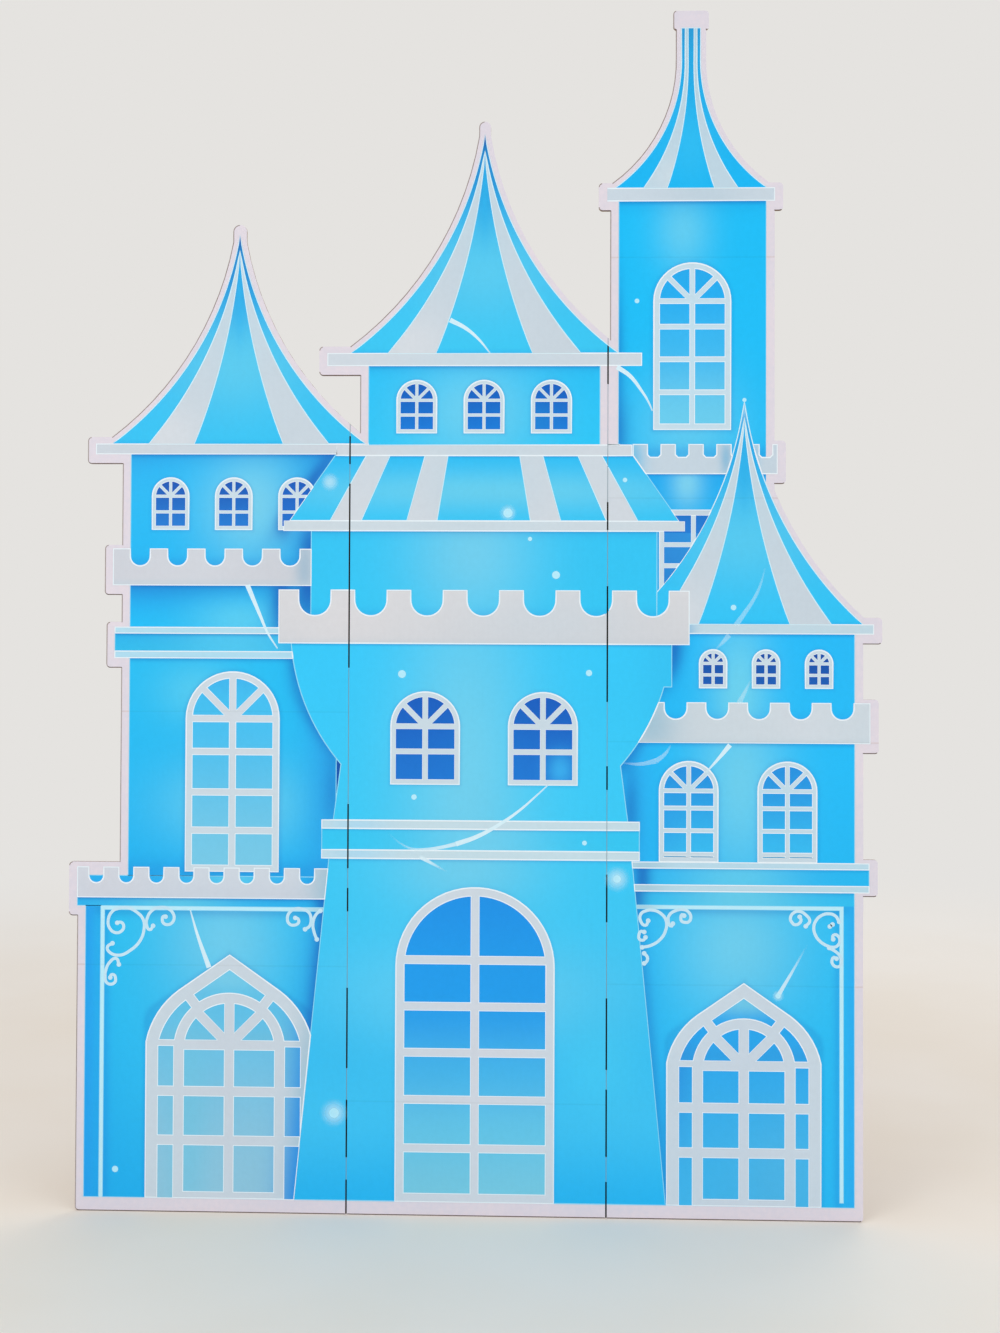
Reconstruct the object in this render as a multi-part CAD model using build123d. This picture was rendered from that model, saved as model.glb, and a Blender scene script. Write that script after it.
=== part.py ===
from build123d import *

import os

# Printed cardboard castle: a die-cut corrugated board in three folded panels, held up from behind
# by one folded card easel. Sizes are millimetres. The origin lies on the floor, halfway across the
# board and halfway through the depth; x runs to the viewer's right, y to the back and z up.

# Board and print film
board_thickness = 4.0
liner_thickness = 0.6
print_thickness = 0.2
overprint_thickness = 0.1
slit_width = 2.4
crease_width = 1.0
crease_depth = 0.4
die_corner_radius = 6.0
overrun = 10.0

# White border left around the printed castle
border_width = 13.0
border_rise = 8.0
border_drop = 15.5
battlement_border_rise = 6.0
eave_border_rise = 10.6
right_band_border = 6.0
roof_border = 8.5
left_finial_width = 21.0
left_finial_rise = 15.5
centre_finial_width = 18.0
centre_finial_rise = 19.7
print_foot = 21.0
half_print_width = 602.5

# Folds, and the stretches of each that are slit right through the board to its back liner
left_fold_x = -189.5
left_fold_height = 1186.0
left_slit_shares = [
    (0.000, 0.044), (0.072, 0.145), (0.185, 0.287), (0.384, 0.414),
    (0.439, 0.521), (0.695, 0.931), (0.956, 0.992),
]
right_fold_x = 202.5
right_fold_height = 1326.0
right_slit_shares = [
    (0.000, 0.041), (0.069, 0.145), (0.167, 0.248), (0.334, 0.388),
    (0.484, 0.511), (0.584, 0.716), (0.780, 0.812), (0.947, 0.991),
]

# Left tower, from the gatehouse at its foot to the roof tip
left_axis = -366.5
left_roof_axis = -360.0
gatehouse_wall_width = 446.0
gatehouse_wall_height = 440.0
parapet_strip_height = 13.0
parapet_height = 45.5
parapet_backing_height = 33.0
parapet_crenel_count = 10
parapet_crenel_pitch = 46.05
parapet_crenel_width = 23.0
parapet_crenel_depth = 24.0
left_wall_width = 317.0
left_wall_height = 318.5
left_band_width = 363.0
left_band_foot_height = 10.0
left_band_height = 27.5
left_band_cap_height = 9.0
left_neck_height = 64.5
left_battlement_width = 369.6
left_battlement_height = 55.0
left_crenel_count = 6
left_crenel_pitch = 57.4
left_crenel_width = 30.8
left_crenel_depth = 26.0
left_upper_wall_height = 145.2
left_eave_width = 424.8
left_eave_height = 15.1
left_roof_width = 390.0
left_roof_height = 320.2

# Keep in the middle
keep_axis = 11.0
crown_axis = 14.5
keep_base_height = 515.0
keep_base_top_width = 458.6
keep_base_foot_width = 561.0
keep_band_width = 480.7
keep_band_foot_height = 12.6
keep_band_height = 32.5
keep_band_cap_height = 12.5
funnel_height = 268.0
funnel_foot_width = 446.0
funnel_waist_width = 423.4
funnel_top_width = 577.4
funnel_waist_rise = 84.5
funnel_shoulder_drop = 86.0
funnel_shoulder_inset = 19.0
funnel_ledge_width = 9.0
funnel_ledge_height = 64.0
keep_battlement_width = 622.4
keep_battlement_height = 80.5
keep_crenel_count = 7
keep_crenel_pitch = 85.5
keep_crenel_width = 49.5
keep_crenel_depth = 39.0
keep_wall_width = 525.0
keep_wall_height = 90.5
hip_trim_width = 609.2
hip_trim_height = 15.0
hip_roof_foot_width = 592.4
hip_roof_top_width = 453.0
hip_roof_height = 99.5
hip_cap_width = 448.5
hip_cap_height = 16.0
crown_wall_width = 351.8
crown_wall_height = 121.0
crown_eave_width = 477.4
crown_eave_height = 18.5
crown_roof_width = 408.8
crown_roof_height = 334.5

# Tall tower behind on the right
tall_axis = 329.75
spire_axis = 327.3
tall_wall_width = 222.5
tall_wall_foot = 900.0
tall_battlement_foot = 1120.0
tall_battlement_width = 256.5
tall_battlement_height = 44.0
tall_crenel_count = 6
tall_crenel_pitch = 42.1
tall_crenel_offset = 6.0
tall_crenel_width = 20.5
tall_crenel_depth = 19.6
tall_wall_height = 370.5
tall_eave_width = 253.0
tall_eave_height = 19.1
spire_width = 231.0
spire_neck_width = 28.8
spire_flare_height = 201.4
spire_neck_height = 43.0
spire_cap_width = 53.8
spire_cap_height = 29.4
spire_cap_radius = 5.0
spire_cap_lap = 3.0
low_band_foot = 1056.6
low_band_height = 8.3

# Right turret and its gatehouse
right_axis = 408.5
right_gatehouse_wall_width = 330.2
right_gatehouse_wall_height = 469.5
right_band_width = 374.0
right_band_foot_height = 9.5
right_band_height = 25.0
right_band_cap_height = 9.0
right_wall_width = 331.0
right_wall_height = 180.0
right_wall_hidden_reach = 200.0
right_battlement_width = 377.0
right_battlement_height = 60.0
right_crenel_count = 5
right_crenel_pitch = 62.6
right_crenel_offset = 22.3
right_crenel_width = 34.5
right_crenel_depth = 25.0
right_upper_wall_height = 104.5
right_eave_height = 14.0
right_roof_width = 357.2
right_roof_height = 338.0

# Striped roofs: shares of the half width for the stripe lines and for the bow of the flanks
roof_bow_share = 0.19
stripe_bow_share = 0.16
spire_bow_share = 0.244
left_stripe_shares = (0.71, 0.35)
crown_stripe_shares = (0.72, 0.36)
right_stripe_shares = (0.735, 0.385)
spire_stripe_shares = (0.62, 0.31)
stripe_tip_drop_shares = (0.075, 0.09)
hip_stripe_shares = (1.0, 0.79, 0.63, 0.395, 0.24)

# Crenel corners, as a share of the crenel's width
round_crenel_share = 0.49
bevelled_crenel_share = 0.2

# Arched windows
left_small_window_offset = -0.5
left_small_window_pitch = 97.0
left_small_window_width = 56.0
left_small_window_height = 78.7
left_small_window_sill = 29.8
crown_small_window_pitch = 102.4
crown_small_window_width = 60.5
crown_small_window_height = 79.9
crown_small_window_sill = 18.4
right_small_window_offset = 32.9
right_small_window_pitch = 79.5
right_small_window_width = 41.0
right_small_window_height = 57.4
right_small_window_sill = 22.6
small_window_row_shares = (0.34,)
small_window_frame = 5.5
small_window_bar = 4.7

left_window_width = 142.0
left_window_height = 302.5
left_window_foot_gap = 5.0
left_window_row_shares = (0.205, 0.397, 0.600)
left_window_frame = 10.0
left_window_bar = 11.0

keep_window_offset = 5.3
keep_window_pitch = 178.4
keep_window_width = 104.0
keep_window_height = 139.5
keep_window_sill = 55.0
keep_window_row_shares = (0.355,)
keep_window_frame = 7.5
keep_window_bar = 8.5

right_window_offset = -9.0
right_window_pitch = 148.0
right_window_width = 88.0
right_window_height = 150.5
right_window_foot_gap = 1.0
right_window_row_shares = (0.075, 0.310, 0.535)
right_window_frame = 7.0
right_window_bar = 7.0

tall_window_width = 116.0
tall_window_height = 252.8
tall_window_sill = 22.8
tall_window_row_shares = (0.223, 0.421, 0.617)
tall_window_frame = 9.0
tall_window_bar = 8.5

low_window_offset = 2.2
low_window_width = 102.0
low_window_height = 130.0
low_window_row_shares = (0.415, 0.660)
low_window_frame = 6.8
low_window_bar = 7.2

door_offset = -7.0
door_width = 239.0
door_height = 472.0
door_row_shares = (0.170, 0.324, 0.474, 0.621)
door_frame = 13.0
door_bar = 13.2
door_spring_rise = 10.5

# Pointed windows of the two gatehouses
left_pointed_window_offset = -2.0
left_pointed_window_width = 253.5
left_pointed_window_shoulder = 234.5
left_pointed_window_height = 366.4
right_pointed_window_width = 230.4
right_pointed_window_shoulder = 212.5
right_pointed_window_height = 331.7
pointed_window_foot_gap = 0.5
pointed_window_frame = 18.5
pointed_window_post = 16.5
pointed_window_bar = 15.5
pointed_window_side_bar = 10.0
pointed_window_sill = 10.0
pointed_window_spring_drop = 4.0
pointed_window_ring_drop = 10.0
pointed_window_ring_share = 0.336
pointed_window_row_shares = (0.370, 0.685)
pointed_window_strut_angle = 38.0
pointed_window_knee_share = 0.61
pointed_window_knee_rise_share = 0.59
pointed_window_bow_share = 0.034

# Line frames inside the gatehouse walls
left_frame_margin = 23.1
left_frame_line = 6.0
right_frame_margin = 16.3
right_frame_line = 5.7
right_frame_drop = 21.0
right_frame_foot = 7.0

# Easel: one folded card with two wings and a lock flap that holds them square
easel_thickness = 3.0
easel_width = 300.0
easel_height = 1000.0
easel_reach = 380.0
easel_top_reach = 60.0
easel_bend_radius = 4.0
flap_height = 330.0
flap_reach = 200.0
flap_ear_length = 12.0
flap_ear_width = 60.0
flap_clearance = 1.0
flap_slot_clearance = 1.5


# Levels and planes that follow from the sizes above

total_depth = overprint_thickness * 2 + print_thickness + board_thickness + easel_reach
board_back = total_depth / 2 - easel_reach
board_front = board_back - board_thickness


def front_plane(y):
    """Upright drawing plane at a depth: x across, height upward, normal to the viewer."""
    return Plane(origin=(0, y, 0), x_dir=(1, 0, 0), z_dir=(0, -1, 0))


# Ink layers as (front-facing plane, thickness): fields on the board, then battlements, pale
# stripes and window frames printed over them, then panes and inner stripes over those

field_layer, over_layer, top_layer = layer_order = ("field", "over", "top")
ink_layers = {
    field_layer: (front_plane(board_front), print_thickness),
    over_layer: (front_plane(board_front - print_thickness), overprint_thickness),
    top_layer: (front_plane(board_front - print_thickness - overprint_thickness),
                overprint_thickness),
}


def levels(start, *heights):
    """Running heights of courses stacked on a start level."""
    marks = [start]
    for height in heights:
        marks.append(marks[-1] + height)
    return marks


(_, parapet_strip_foot, parapet_foot, parapet_top) = levels(
    print_foot, gatehouse_wall_height, parapet_strip_height, parapet_height)
(left_wall_foot, left_band_foot, left_band_blue_foot, left_band_cap_foot, left_neck_foot,
 left_battlement_foot, left_upper_wall_foot, left_eave_foot, left_roof_foot, left_tip) = levels(
    parapet_top, left_wall_height, left_band_foot_height, left_band_height, left_band_cap_height,
    left_neck_height, left_battlement_height, left_upper_wall_height, left_eave_height,
    left_roof_height)
(_, keep_band_foot, keep_band_blue_foot, keep_band_cap_foot, funnel_foot, keep_battlement_foot,
 keep_battlement_top, hip_trim_foot, hip_roof_foot, hip_cap_foot, crown_wall_foot,
 crown_eave_foot, crown_roof_foot, crown_tip) = levels(
    print_foot, keep_base_height, keep_band_foot_height, keep_band_height, keep_band_cap_height,
    funnel_height, keep_battlement_height, keep_wall_height, hip_trim_height, hip_roof_height,
    hip_cap_height, crown_wall_height, crown_eave_height, crown_roof_height)
(tall_wall_line, tall_eave_foot, spire_foot, spire_neck_foot, spire_top) = levels(
    tall_battlement_foot + tall_battlement_height, tall_wall_height, tall_eave_height,
    spire_flare_height, spire_neck_height)
(_, right_band_foot, right_band_blue_foot, right_band_cap_foot, right_wall_foot,
 right_battlement_foot, right_upper_wall_foot, right_eave_foot, right_roof_foot) = levels(
    print_foot, right_gatehouse_wall_height, right_band_foot_height, right_band_height,
    right_band_cap_height, right_wall_height, right_battlement_height, right_upper_wall_height,
    right_eave_height)
right_tip = right_roof_foot + right_roof_height
parapet_width = (half_print_width + left_axis) * 2
right_eave_width = (half_print_width - right_axis) * 2


# Flat shapes, drawn with x across and y for height

def course(axis, width, foot, top):
    """Rectangle of one building course, centred on its axis."""
    return Pos(axis, (foot + top) / 2) * Rectangle(width, top - foot)


def block(left, right, foot, top):
    """Rectangle between two sides and two heights."""
    return course((left + right) / 2, right - left, foot, top)


def trapezoid(axis, foot_width, top_width, foot, top):
    """Course whose sides lean evenly inward or outward."""
    corners = [
        (axis - foot_width / 2, foot), (axis + foot_width / 2, foot),
        (axis + top_width / 2, top), (axis - top_width / 2, top),
    ]
    return make_face(Polyline(*corners, close=True))


def bell(axis, foot, width, height, bow_share):
    """Roof with hollow flanks that run as arcs from the eaves to the tip."""
    left_foot = (axis - width / 2, foot)
    right_foot = (axis + width / 2, foot)
    tip = (axis, foot + height)
    bow = bow_share * width / 2
    outline = Line(left_foot, right_foot)
    outline += SagittaArc(right_foot, tip, bow)
    outline += SagittaArc(tip, left_foot, bow)
    return make_face(outline)


def spire(axis, foot, width, flare_height, neck_width, neck_height, bow_share):
    """Roof that flares from a straight, narrow neck."""
    corners = [(axis - width / 2, foot), (axis + width / 2, foot)]
    neck_foot = foot + flare_height
    neck_top = neck_foot + neck_height
    right_neck = (axis + neck_width / 2, neck_foot)
    left_neck = (axis - neck_width / 2, neck_foot)
    bow = bow_share * width / 2
    outline = Line(*corners)
    outline += SagittaArc(corners[1], right_neck, bow)
    outline += Line(right_neck, (axis + neck_width / 2, neck_top))
    outline += Line((axis + neck_width / 2, neck_top), (axis - neck_width / 2, neck_top))
    outline += Line((axis - neck_width / 2, neck_top), left_neck)
    outline += SagittaArc(left_neck, corners[0], bow)
    return make_face(outline)


def battlement(axis, width, foot, top, count, pitch, crenel_width, crenel_depth, corner_share,
               offset=0, bevelled=False):
    """Parapet with a row of crenels cut from its top, their corners round or bevelled."""
    wall = course(axis, width, foot, top)
    corner = crenel_width * corner_share
    if bevelled:
        notch = chamfer(Rectangle(crenel_width, crenel_depth * 2).vertices(), corner)
    else:
        notch = RectangleRounded(crenel_width, crenel_depth * 2, corner)
    first = axis + offset - pitch * (count - 1) / 2
    return wall - [Pos(first + pitch * index, top) * notch for index in range(count)]


def arch(axis, foot, width, height):
    """Opening with a round head."""
    spring = foot + height - width / 2
    head = Pos(axis, spring) * Circle(width / 2)
    body = course(axis, width, foot, spring)
    return (body + head) - course(axis, width * 2, foot - width, foot)


def spoke(axis, centre, length, bar, angle):
    """Glazing bar that runs out from a centre, at an angle from upright."""
    turned = Rot(0, 0, -angle) * Pos(0, length / 2) * Rectangle(bar, length)
    return Pos(axis, centre) * turned


def arched_window(axis, foot, width, height, frame, bar, row_shares, spoke_angle=45,
                  spring_rise=0):
    """Frame and panes of a round-headed window with a fan of panes in its head."""
    outer = arch(axis, foot, width, height)
    inner = arch(axis, foot + frame, width - frame * 2, height - frame * 2)
    spring = foot + height - width / 2
    bars = [course(axis, bar, foot, foot + height)]
    spring_bar = spring + spring_rise
    bars.append(course(axis, width, spring_bar - bar / 2, spring_bar + bar / 2))
    for share in row_shares:
        level = foot + height * share
        bars.append(course(axis, width, level - bar / 2, level + bar / 2))
    if spoke_angle:
        bars.append(spoke(axis, spring, width / 2, bar, spoke_angle))
        bars.append(spoke(axis, spring, width / 2, bar, -spoke_angle))
    return outer, inner - bars


def gable(axis, foot, width, shoulder, height):
    """Opening with upright sides, a bow above each shoulder and straight slopes to its peak."""
    rise = height - shoulder
    knee_level = foot + shoulder + rise * pointed_window_knee_rise_share
    knee_reach = width / 2 * pointed_window_knee_share
    bow = width * pointed_window_bow_share
    peak = (axis, foot + height)
    left_foot = (axis - width / 2, foot)
    right_foot = (axis + width / 2, foot)
    left_shoulder = (axis - width / 2, foot + shoulder)
    right_shoulder = (axis + width / 2, foot + shoulder)
    left_knee = (axis - knee_reach, knee_level)
    right_knee = (axis + knee_reach, knee_level)
    outline = Polyline(left_shoulder, left_foot, right_foot, right_shoulder)
    outline += SagittaArc(right_shoulder, right_knee, -bow)
    outline += Polyline(right_knee, peak, left_knee)
    outline += SagittaArc(left_knee, left_shoulder, -bow)
    return make_face(outline)


def pointed_window(axis, foot, width, shoulder, height):
    """Frame and panes of a gabled window: a fan in a ring, between two side lights."""
    outer = gable(axis, foot, width, shoulder, height)
    inset = pointed_window_frame
    longer = gable(axis, foot - inset, width, shoulder + inset, height + inset)
    inner = offset(longer, -inset, kind=Kind.INTERSECTION)
    ring_radius = width * pointed_window_ring_share
    post = pointed_window_post
    bar = pointed_window_bar
    spring = foot + shoulder - pointed_window_spring_drop
    ring_level = foot + shoulder - pointed_window_ring_drop
    ring = Pos(axis, ring_level) * (Circle(ring_radius) - Circle(ring_radius - post))
    bars = [ring - course(axis, width, foot, ring_level)]
    bars.append(course(axis, bar, foot, ring_level + ring_radius - post / 2))
    for side in (-1, 1):
        post_axis = axis + side * (ring_radius - post / 2)
        bars.append(course(post_axis, post, foot, ring_level))
        bars.append(spoke(axis, spring, ring_radius - post, bar, side * 45))
        strut = spoke(axis, ring_level, height, bar, side * pointed_window_strut_angle)
        bars.append(strut - Pos(axis, ring_level) * Circle(ring_radius - post / 2))
    for share in pointed_window_row_shares:
        level = foot + shoulder * share
        bars.append(course(axis, width, level - bar / 2, level + bar / 2))
    bars.append(course(axis, ring_radius * 2, spring - bar / 2, spring + bar / 2))
    bars.append(course(axis, width, spring + bar / 2 - pointed_window_side_bar,
                       spring + bar / 2))
    bars.append(course(axis, ring_radius * 2, foot, foot + pointed_window_sill))
    return outer, inner - bars


# Print, painted from back to front as (node, layer, shape)

artwork = []


def paint(node, shape, layer=field_layer):
    """Add a shape of one ink to the print, in front of what is there."""
    artwork.append((node, layer, shape))


def paint_window(window, pane_node):
    """Add a window's frame and its panes."""
    outer, panes = window
    paint("window_frames", outer, over_layer)
    paint(pane_node, panes, top_layer)


def paint_striped_roof(name, axis, foot, width, height, stripe_shares):
    """Blue roof with a pale bell inside it and a blue one inside that."""
    paint(name + "_roof_blue", bell(axis, foot, width, height, roof_bow_share))
    inks = (name + "_roof_pale", name + "_roof_blue")
    layers = (over_layer, top_layer)
    for ink, layer, share, drop_share in zip(inks, layers, stripe_shares,
                                             stripe_tip_drop_shares):
        stripe_height = height * (1 - drop_share)
        paint(ink, bell(axis, foot, width * share, stripe_height, stripe_bow_share), layer)


def paint_tall_tower():
    """Slender tower at the back, with its spire and long window."""
    paint("tall_tower_wall", course(tall_axis, tall_wall_width, tall_wall_foot, tall_eave_foot))
    low_sill = low_band_foot - low_window_height
    low_axis = tall_axis + low_window_offset
    outer = course(low_axis, low_window_width, low_sill, low_band_foot)
    inner = course(low_axis, low_window_width - low_window_frame * 2, low_sill + low_window_frame,
                   low_band_foot)
    bars = [course(low_axis, low_window_bar, low_sill, low_band_foot)]
    for share in low_window_row_shares:
        level = low_sill + low_window_height * share
        bars.append(course(low_axis, low_window_width, level - low_window_bar / 2,
                           level + low_window_bar / 2))
    paint_window((outer, inner - bars), "dark_panes")
    paint("tall_tower_trim", course(tall_axis, tall_wall_width, low_band_foot,
                                    low_band_foot + low_band_height))
    paint("tall_tower_trim", battlement(
        tall_axis, tall_battlement_width, tall_battlement_foot, tall_wall_line, tall_crenel_count,
        tall_crenel_pitch, tall_crenel_width, tall_crenel_depth, bevelled_crenel_share,
        tall_crenel_offset, True), over_layer)
    paint_window(arched_window(
        tall_axis, tall_wall_line + tall_window_sill, tall_window_width, tall_window_height,
        tall_window_frame, tall_window_bar, tall_window_row_shares), "mid_panes")
    paint("tall_tower_trim", course(spire_axis, tall_eave_width, tall_eave_foot, spire_foot))
    paint("spire_roof_blue", spire(
        spire_axis, spire_foot, spire_width, spire_flare_height, spire_neck_width,
        spire_neck_height, spire_bow_share))
    inks = ("spire_roof_pale", "spire_roof_blue")
    for ink, layer, share in zip(inks, (over_layer, top_layer), spire_stripe_shares):
        paint(ink, spire(
            spire_axis, spire_foot, spire_width * share, spire_flare_height,
            spire_neck_width * share, spire_neck_height, spire_bow_share), layer)


def paint_left_tower():
    """Left tower, from its wall above the gatehouse to its roof."""
    wall_width = left_wall_width
    paint("left_tower_wall", course(left_axis, wall_width, parapet_foot, left_band_foot))
    paint("left_tower_trim", course(left_axis, left_band_width, left_band_foot,
                                    left_band_blue_foot))
    paint("left_tower_wall", course(left_axis, left_band_width, left_band_blue_foot,
                                    left_band_cap_foot))
    paint("left_tower_trim", course(left_axis, left_band_width, left_band_cap_foot,
                                    left_neck_foot))
    paint("left_tower_wall", course(left_axis, wall_width, left_neck_foot, left_eave_foot))
    paint("left_tower_trim", battlement(
        left_axis, left_battlement_width, left_battlement_foot, left_upper_wall_foot,
        left_crenel_count, left_crenel_pitch, left_crenel_width, left_crenel_depth,
        round_crenel_share), over_layer)
    for place in (-1, 0, 1):
        axis = left_axis + left_small_window_offset + place * left_small_window_pitch
        paint_window(arched_window(
            axis, left_upper_wall_foot + left_small_window_sill, left_small_window_width,
            left_small_window_height, small_window_frame, small_window_bar,
            small_window_row_shares), "dark_panes")
    paint_window(arched_window(
        left_axis, parapet_top - left_window_foot_gap, left_window_width, left_window_height,
        left_window_frame, left_window_bar, left_window_row_shares), "pale_panes")
    paint("left_tower_trim", course(left_axis, left_eave_width, left_eave_foot, left_roof_foot))
    paint_striped_roof("left", left_roof_axis, left_roof_foot, left_roof_width, left_roof_height,
                       left_stripe_shares)


def paint_right_turret():
    """Right turret above its band, and the small roof in front of the tall tower."""
    hidden_side = right_axis - right_wall_hidden_reach
    wall_side = right_axis + right_wall_width / 2
    battlement_side = right_axis + right_battlement_width / 2
    paint("right_turret_wall", block(hidden_side, wall_side, right_wall_foot,
                                     right_eave_foot))
    reach = (hidden_side + battlement_side) / 2
    paint("right_turret_trim", battlement(
        reach, battlement_side - hidden_side, right_battlement_foot, right_upper_wall_foot,
        right_crenel_count, right_crenel_pitch, right_crenel_width, right_crenel_depth,
        round_crenel_share, right_axis + right_crenel_offset - reach), over_layer)
    for place in (-1, 0, 1):
        axis = right_axis + right_small_window_offset + place * right_small_window_pitch
        paint_window(arched_window(
            axis, right_upper_wall_foot + right_small_window_sill, right_small_window_width,
            right_small_window_height, small_window_frame, small_window_bar,
            small_window_row_shares), "dark_panes")
    for side in (-1, 1):
        axis = right_axis + right_window_offset + side * right_window_pitch / 2
        paint_window(arched_window(
            axis, right_wall_foot + right_window_foot_gap, right_window_width,
            right_window_height, right_window_frame, right_window_bar, right_window_row_shares),
            "mid_panes")
    paint("right_turret_trim", course(right_axis, right_eave_width, right_eave_foot,
                                      right_roof_foot))
    paint_striped_roof("right", right_axis, right_roof_foot, right_roof_width, right_roof_height,
                       right_stripe_shares)


def paint_left_gatehouse():
    """Gatehouse under the left tower, with its parapet, line frame and pointed window."""
    wall_side = left_axis - gatehouse_wall_width / 2
    paint("left_gatehouse_wall", course(left_axis, gatehouse_wall_width, print_foot,
                                        parapet_strip_foot))
    paint("left_gatehouse_wall", course(left_axis, parapet_width, parapet_strip_foot,
                                        parapet_foot + parapet_backing_height))
    line_side = wall_side + left_frame_margin
    paint("left_gatehouse_trim", block(line_side, keep_axis, parapet_strip_foot - left_frame_line,
                                       parapet_strip_foot))
    paint("left_gatehouse_trim", block(line_side, line_side + left_frame_line, print_foot,
                                       parapet_strip_foot - left_frame_line))
    paint("left_gatehouse_trim", battlement(
        left_axis, parapet_width, parapet_foot, parapet_top, parapet_crenel_count,
        parapet_crenel_pitch, parapet_crenel_width, parapet_crenel_depth, round_crenel_share),
        over_layer)
    paint_window(pointed_window(
        left_axis + left_pointed_window_offset, print_foot + pointed_window_foot_gap,
        left_pointed_window_width, left_pointed_window_shoulder, left_pointed_window_height),
        "pale_panes")


def paint_right_gatehouse():
    """Gatehouse under the right turret, with its band, line frame and pointed window."""
    hidden_side = right_axis - right_wall_hidden_reach
    wall_side = right_axis + right_gatehouse_wall_width / 2
    band_side = right_axis + right_band_width / 2
    paint("right_gatehouse_wall", block(hidden_side, wall_side, print_foot, right_band_foot))
    paint("right_gatehouse_trim", block(hidden_side, band_side, right_band_foot,
                                        right_band_blue_foot))
    paint("right_gatehouse_wall", block(hidden_side, band_side, right_band_blue_foot,
                                        right_band_cap_foot))
    paint("right_gatehouse_trim", block(hidden_side, band_side, right_band_cap_foot,
                                        right_wall_foot))
    line_top = right_band_foot - right_frame_drop
    line_side = wall_side - right_frame_margin
    paint("right_gatehouse_trim", block(hidden_side, line_side, line_top - right_frame_line,
                                        line_top))
    paint("right_gatehouse_trim", block(line_side - right_frame_line, line_side,
                                        print_foot + right_frame_foot,
                                        line_top - right_frame_line))
    paint_window(pointed_window(
        right_axis, print_foot + pointed_window_foot_gap, right_pointed_window_width,
        right_pointed_window_shoulder, right_pointed_window_height), "mid_panes")


def funnel():
    """Keep wall that spreads from a narrow waist to the battlement above."""
    waist_level = funnel_foot + funnel_waist_rise
    shoulder_level = keep_battlement_foot - funnel_shoulder_drop
    outline = []
    for side in (-1, 1):
        foot = (keep_axis + side * funnel_foot_width / 2, funnel_foot)
        waist = (keep_axis + side * funnel_waist_width / 2, waist_level)
        shoulder = (keep_axis + side * (funnel_top_width / 2 - funnel_shoulder_inset),
                    shoulder_level)
        top = (keep_axis + side * funnel_top_width / 2, keep_battlement_foot)
        outline += [Line(foot, waist), ThreePointArc(waist, shoulder, top)]
    outline.append(Line(outline[0] @ 0, outline[2] @ 0))
    outline.append(Line(outline[1] @ 1, outline[3] @ 1))
    ledge_side = keep_axis + funnel_top_width / 2
    ledge = block(ledge_side - funnel_ledge_width * 2, ledge_side,
                  keep_battlement_foot - funnel_ledge_height, keep_battlement_foot)
    return make_face(outline) + ledge


def hip_roof_stripes():
    """Hip roof as nested trapezoids, blue and pale by turns."""
    for index, share in enumerate(hip_stripe_shares):
        ink = "hip_roof_pale" if index % 2 else "hip_roof_blue"
        paint(ink, trapezoid(crown_axis, hip_roof_foot_width * share, hip_roof_top_width * share,
                             hip_roof_foot, hip_cap_foot))


def paint_keep():
    """Keep in front of everything else, with the door at its foot."""
    paint("waist_shadow", block(left_axis + left_wall_width / 2, keep_axis, funnel_foot,
                                funnel_foot + funnel_waist_rise * 2))
    paint("crown_wall", course(crown_axis, crown_wall_width, crown_wall_foot, crown_eave_foot))
    for place in (-1, 0, 1):
        paint_window(arched_window(
            crown_axis + place * crown_small_window_pitch,
            crown_wall_foot + crown_small_window_sill, crown_small_window_width,
            crown_small_window_height, small_window_frame, small_window_bar,
            small_window_row_shares), "dark_panes")
    paint("crown_trim", course(crown_axis, crown_eave_width, crown_eave_foot, crown_roof_foot))
    paint_striped_roof("crown", crown_axis, crown_roof_foot, crown_roof_width,
                       crown_roof_height, crown_stripe_shares)
    paint("keep_wall", course(crown_axis, keep_wall_width, keep_battlement_foot, hip_trim_foot))
    paint("crown_trim", course(crown_axis, hip_trim_width, hip_trim_foot, hip_roof_foot))
    hip_roof_stripes()
    paint("crown_trim", course(crown_axis, hip_cap_width, hip_cap_foot, crown_wall_foot))
    paint("keep_wall", funnel())
    for side in (-1, 1):
        axis = keep_axis + keep_window_offset + side * keep_window_pitch / 2
        paint_window(arched_window(
            axis, funnel_foot + keep_window_sill, keep_window_width, keep_window_height,
            keep_window_frame, keep_window_bar, keep_window_row_shares), "dark_panes")
    paint("keep_trim", battlement(
        crown_axis, keep_battlement_width, keep_battlement_foot, keep_battlement_top,
        keep_crenel_count, keep_crenel_pitch, keep_crenel_width, keep_crenel_depth,
        round_crenel_share), over_layer)
    paint("keep_base", trapezoid(keep_axis, keep_base_foot_width, keep_base_top_width, print_foot,
                                 keep_band_foot))
    paint("keep_trim", course(keep_axis, keep_band_width, keep_band_foot, keep_band_blue_foot))
    paint("keep_base", course(keep_axis, keep_band_width, keep_band_blue_foot,
                              keep_band_cap_foot))
    paint("keep_trim", course(keep_axis, keep_band_width, keep_band_cap_foot, funnel_foot))
    paint_window(arched_window(
        keep_axis + door_offset, print_foot, door_width, door_height, door_frame, door_bar,
        door_row_shares, spoke_angle=0, spring_rise=door_spring_rise), "door_panes")


# Outline of the board

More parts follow.
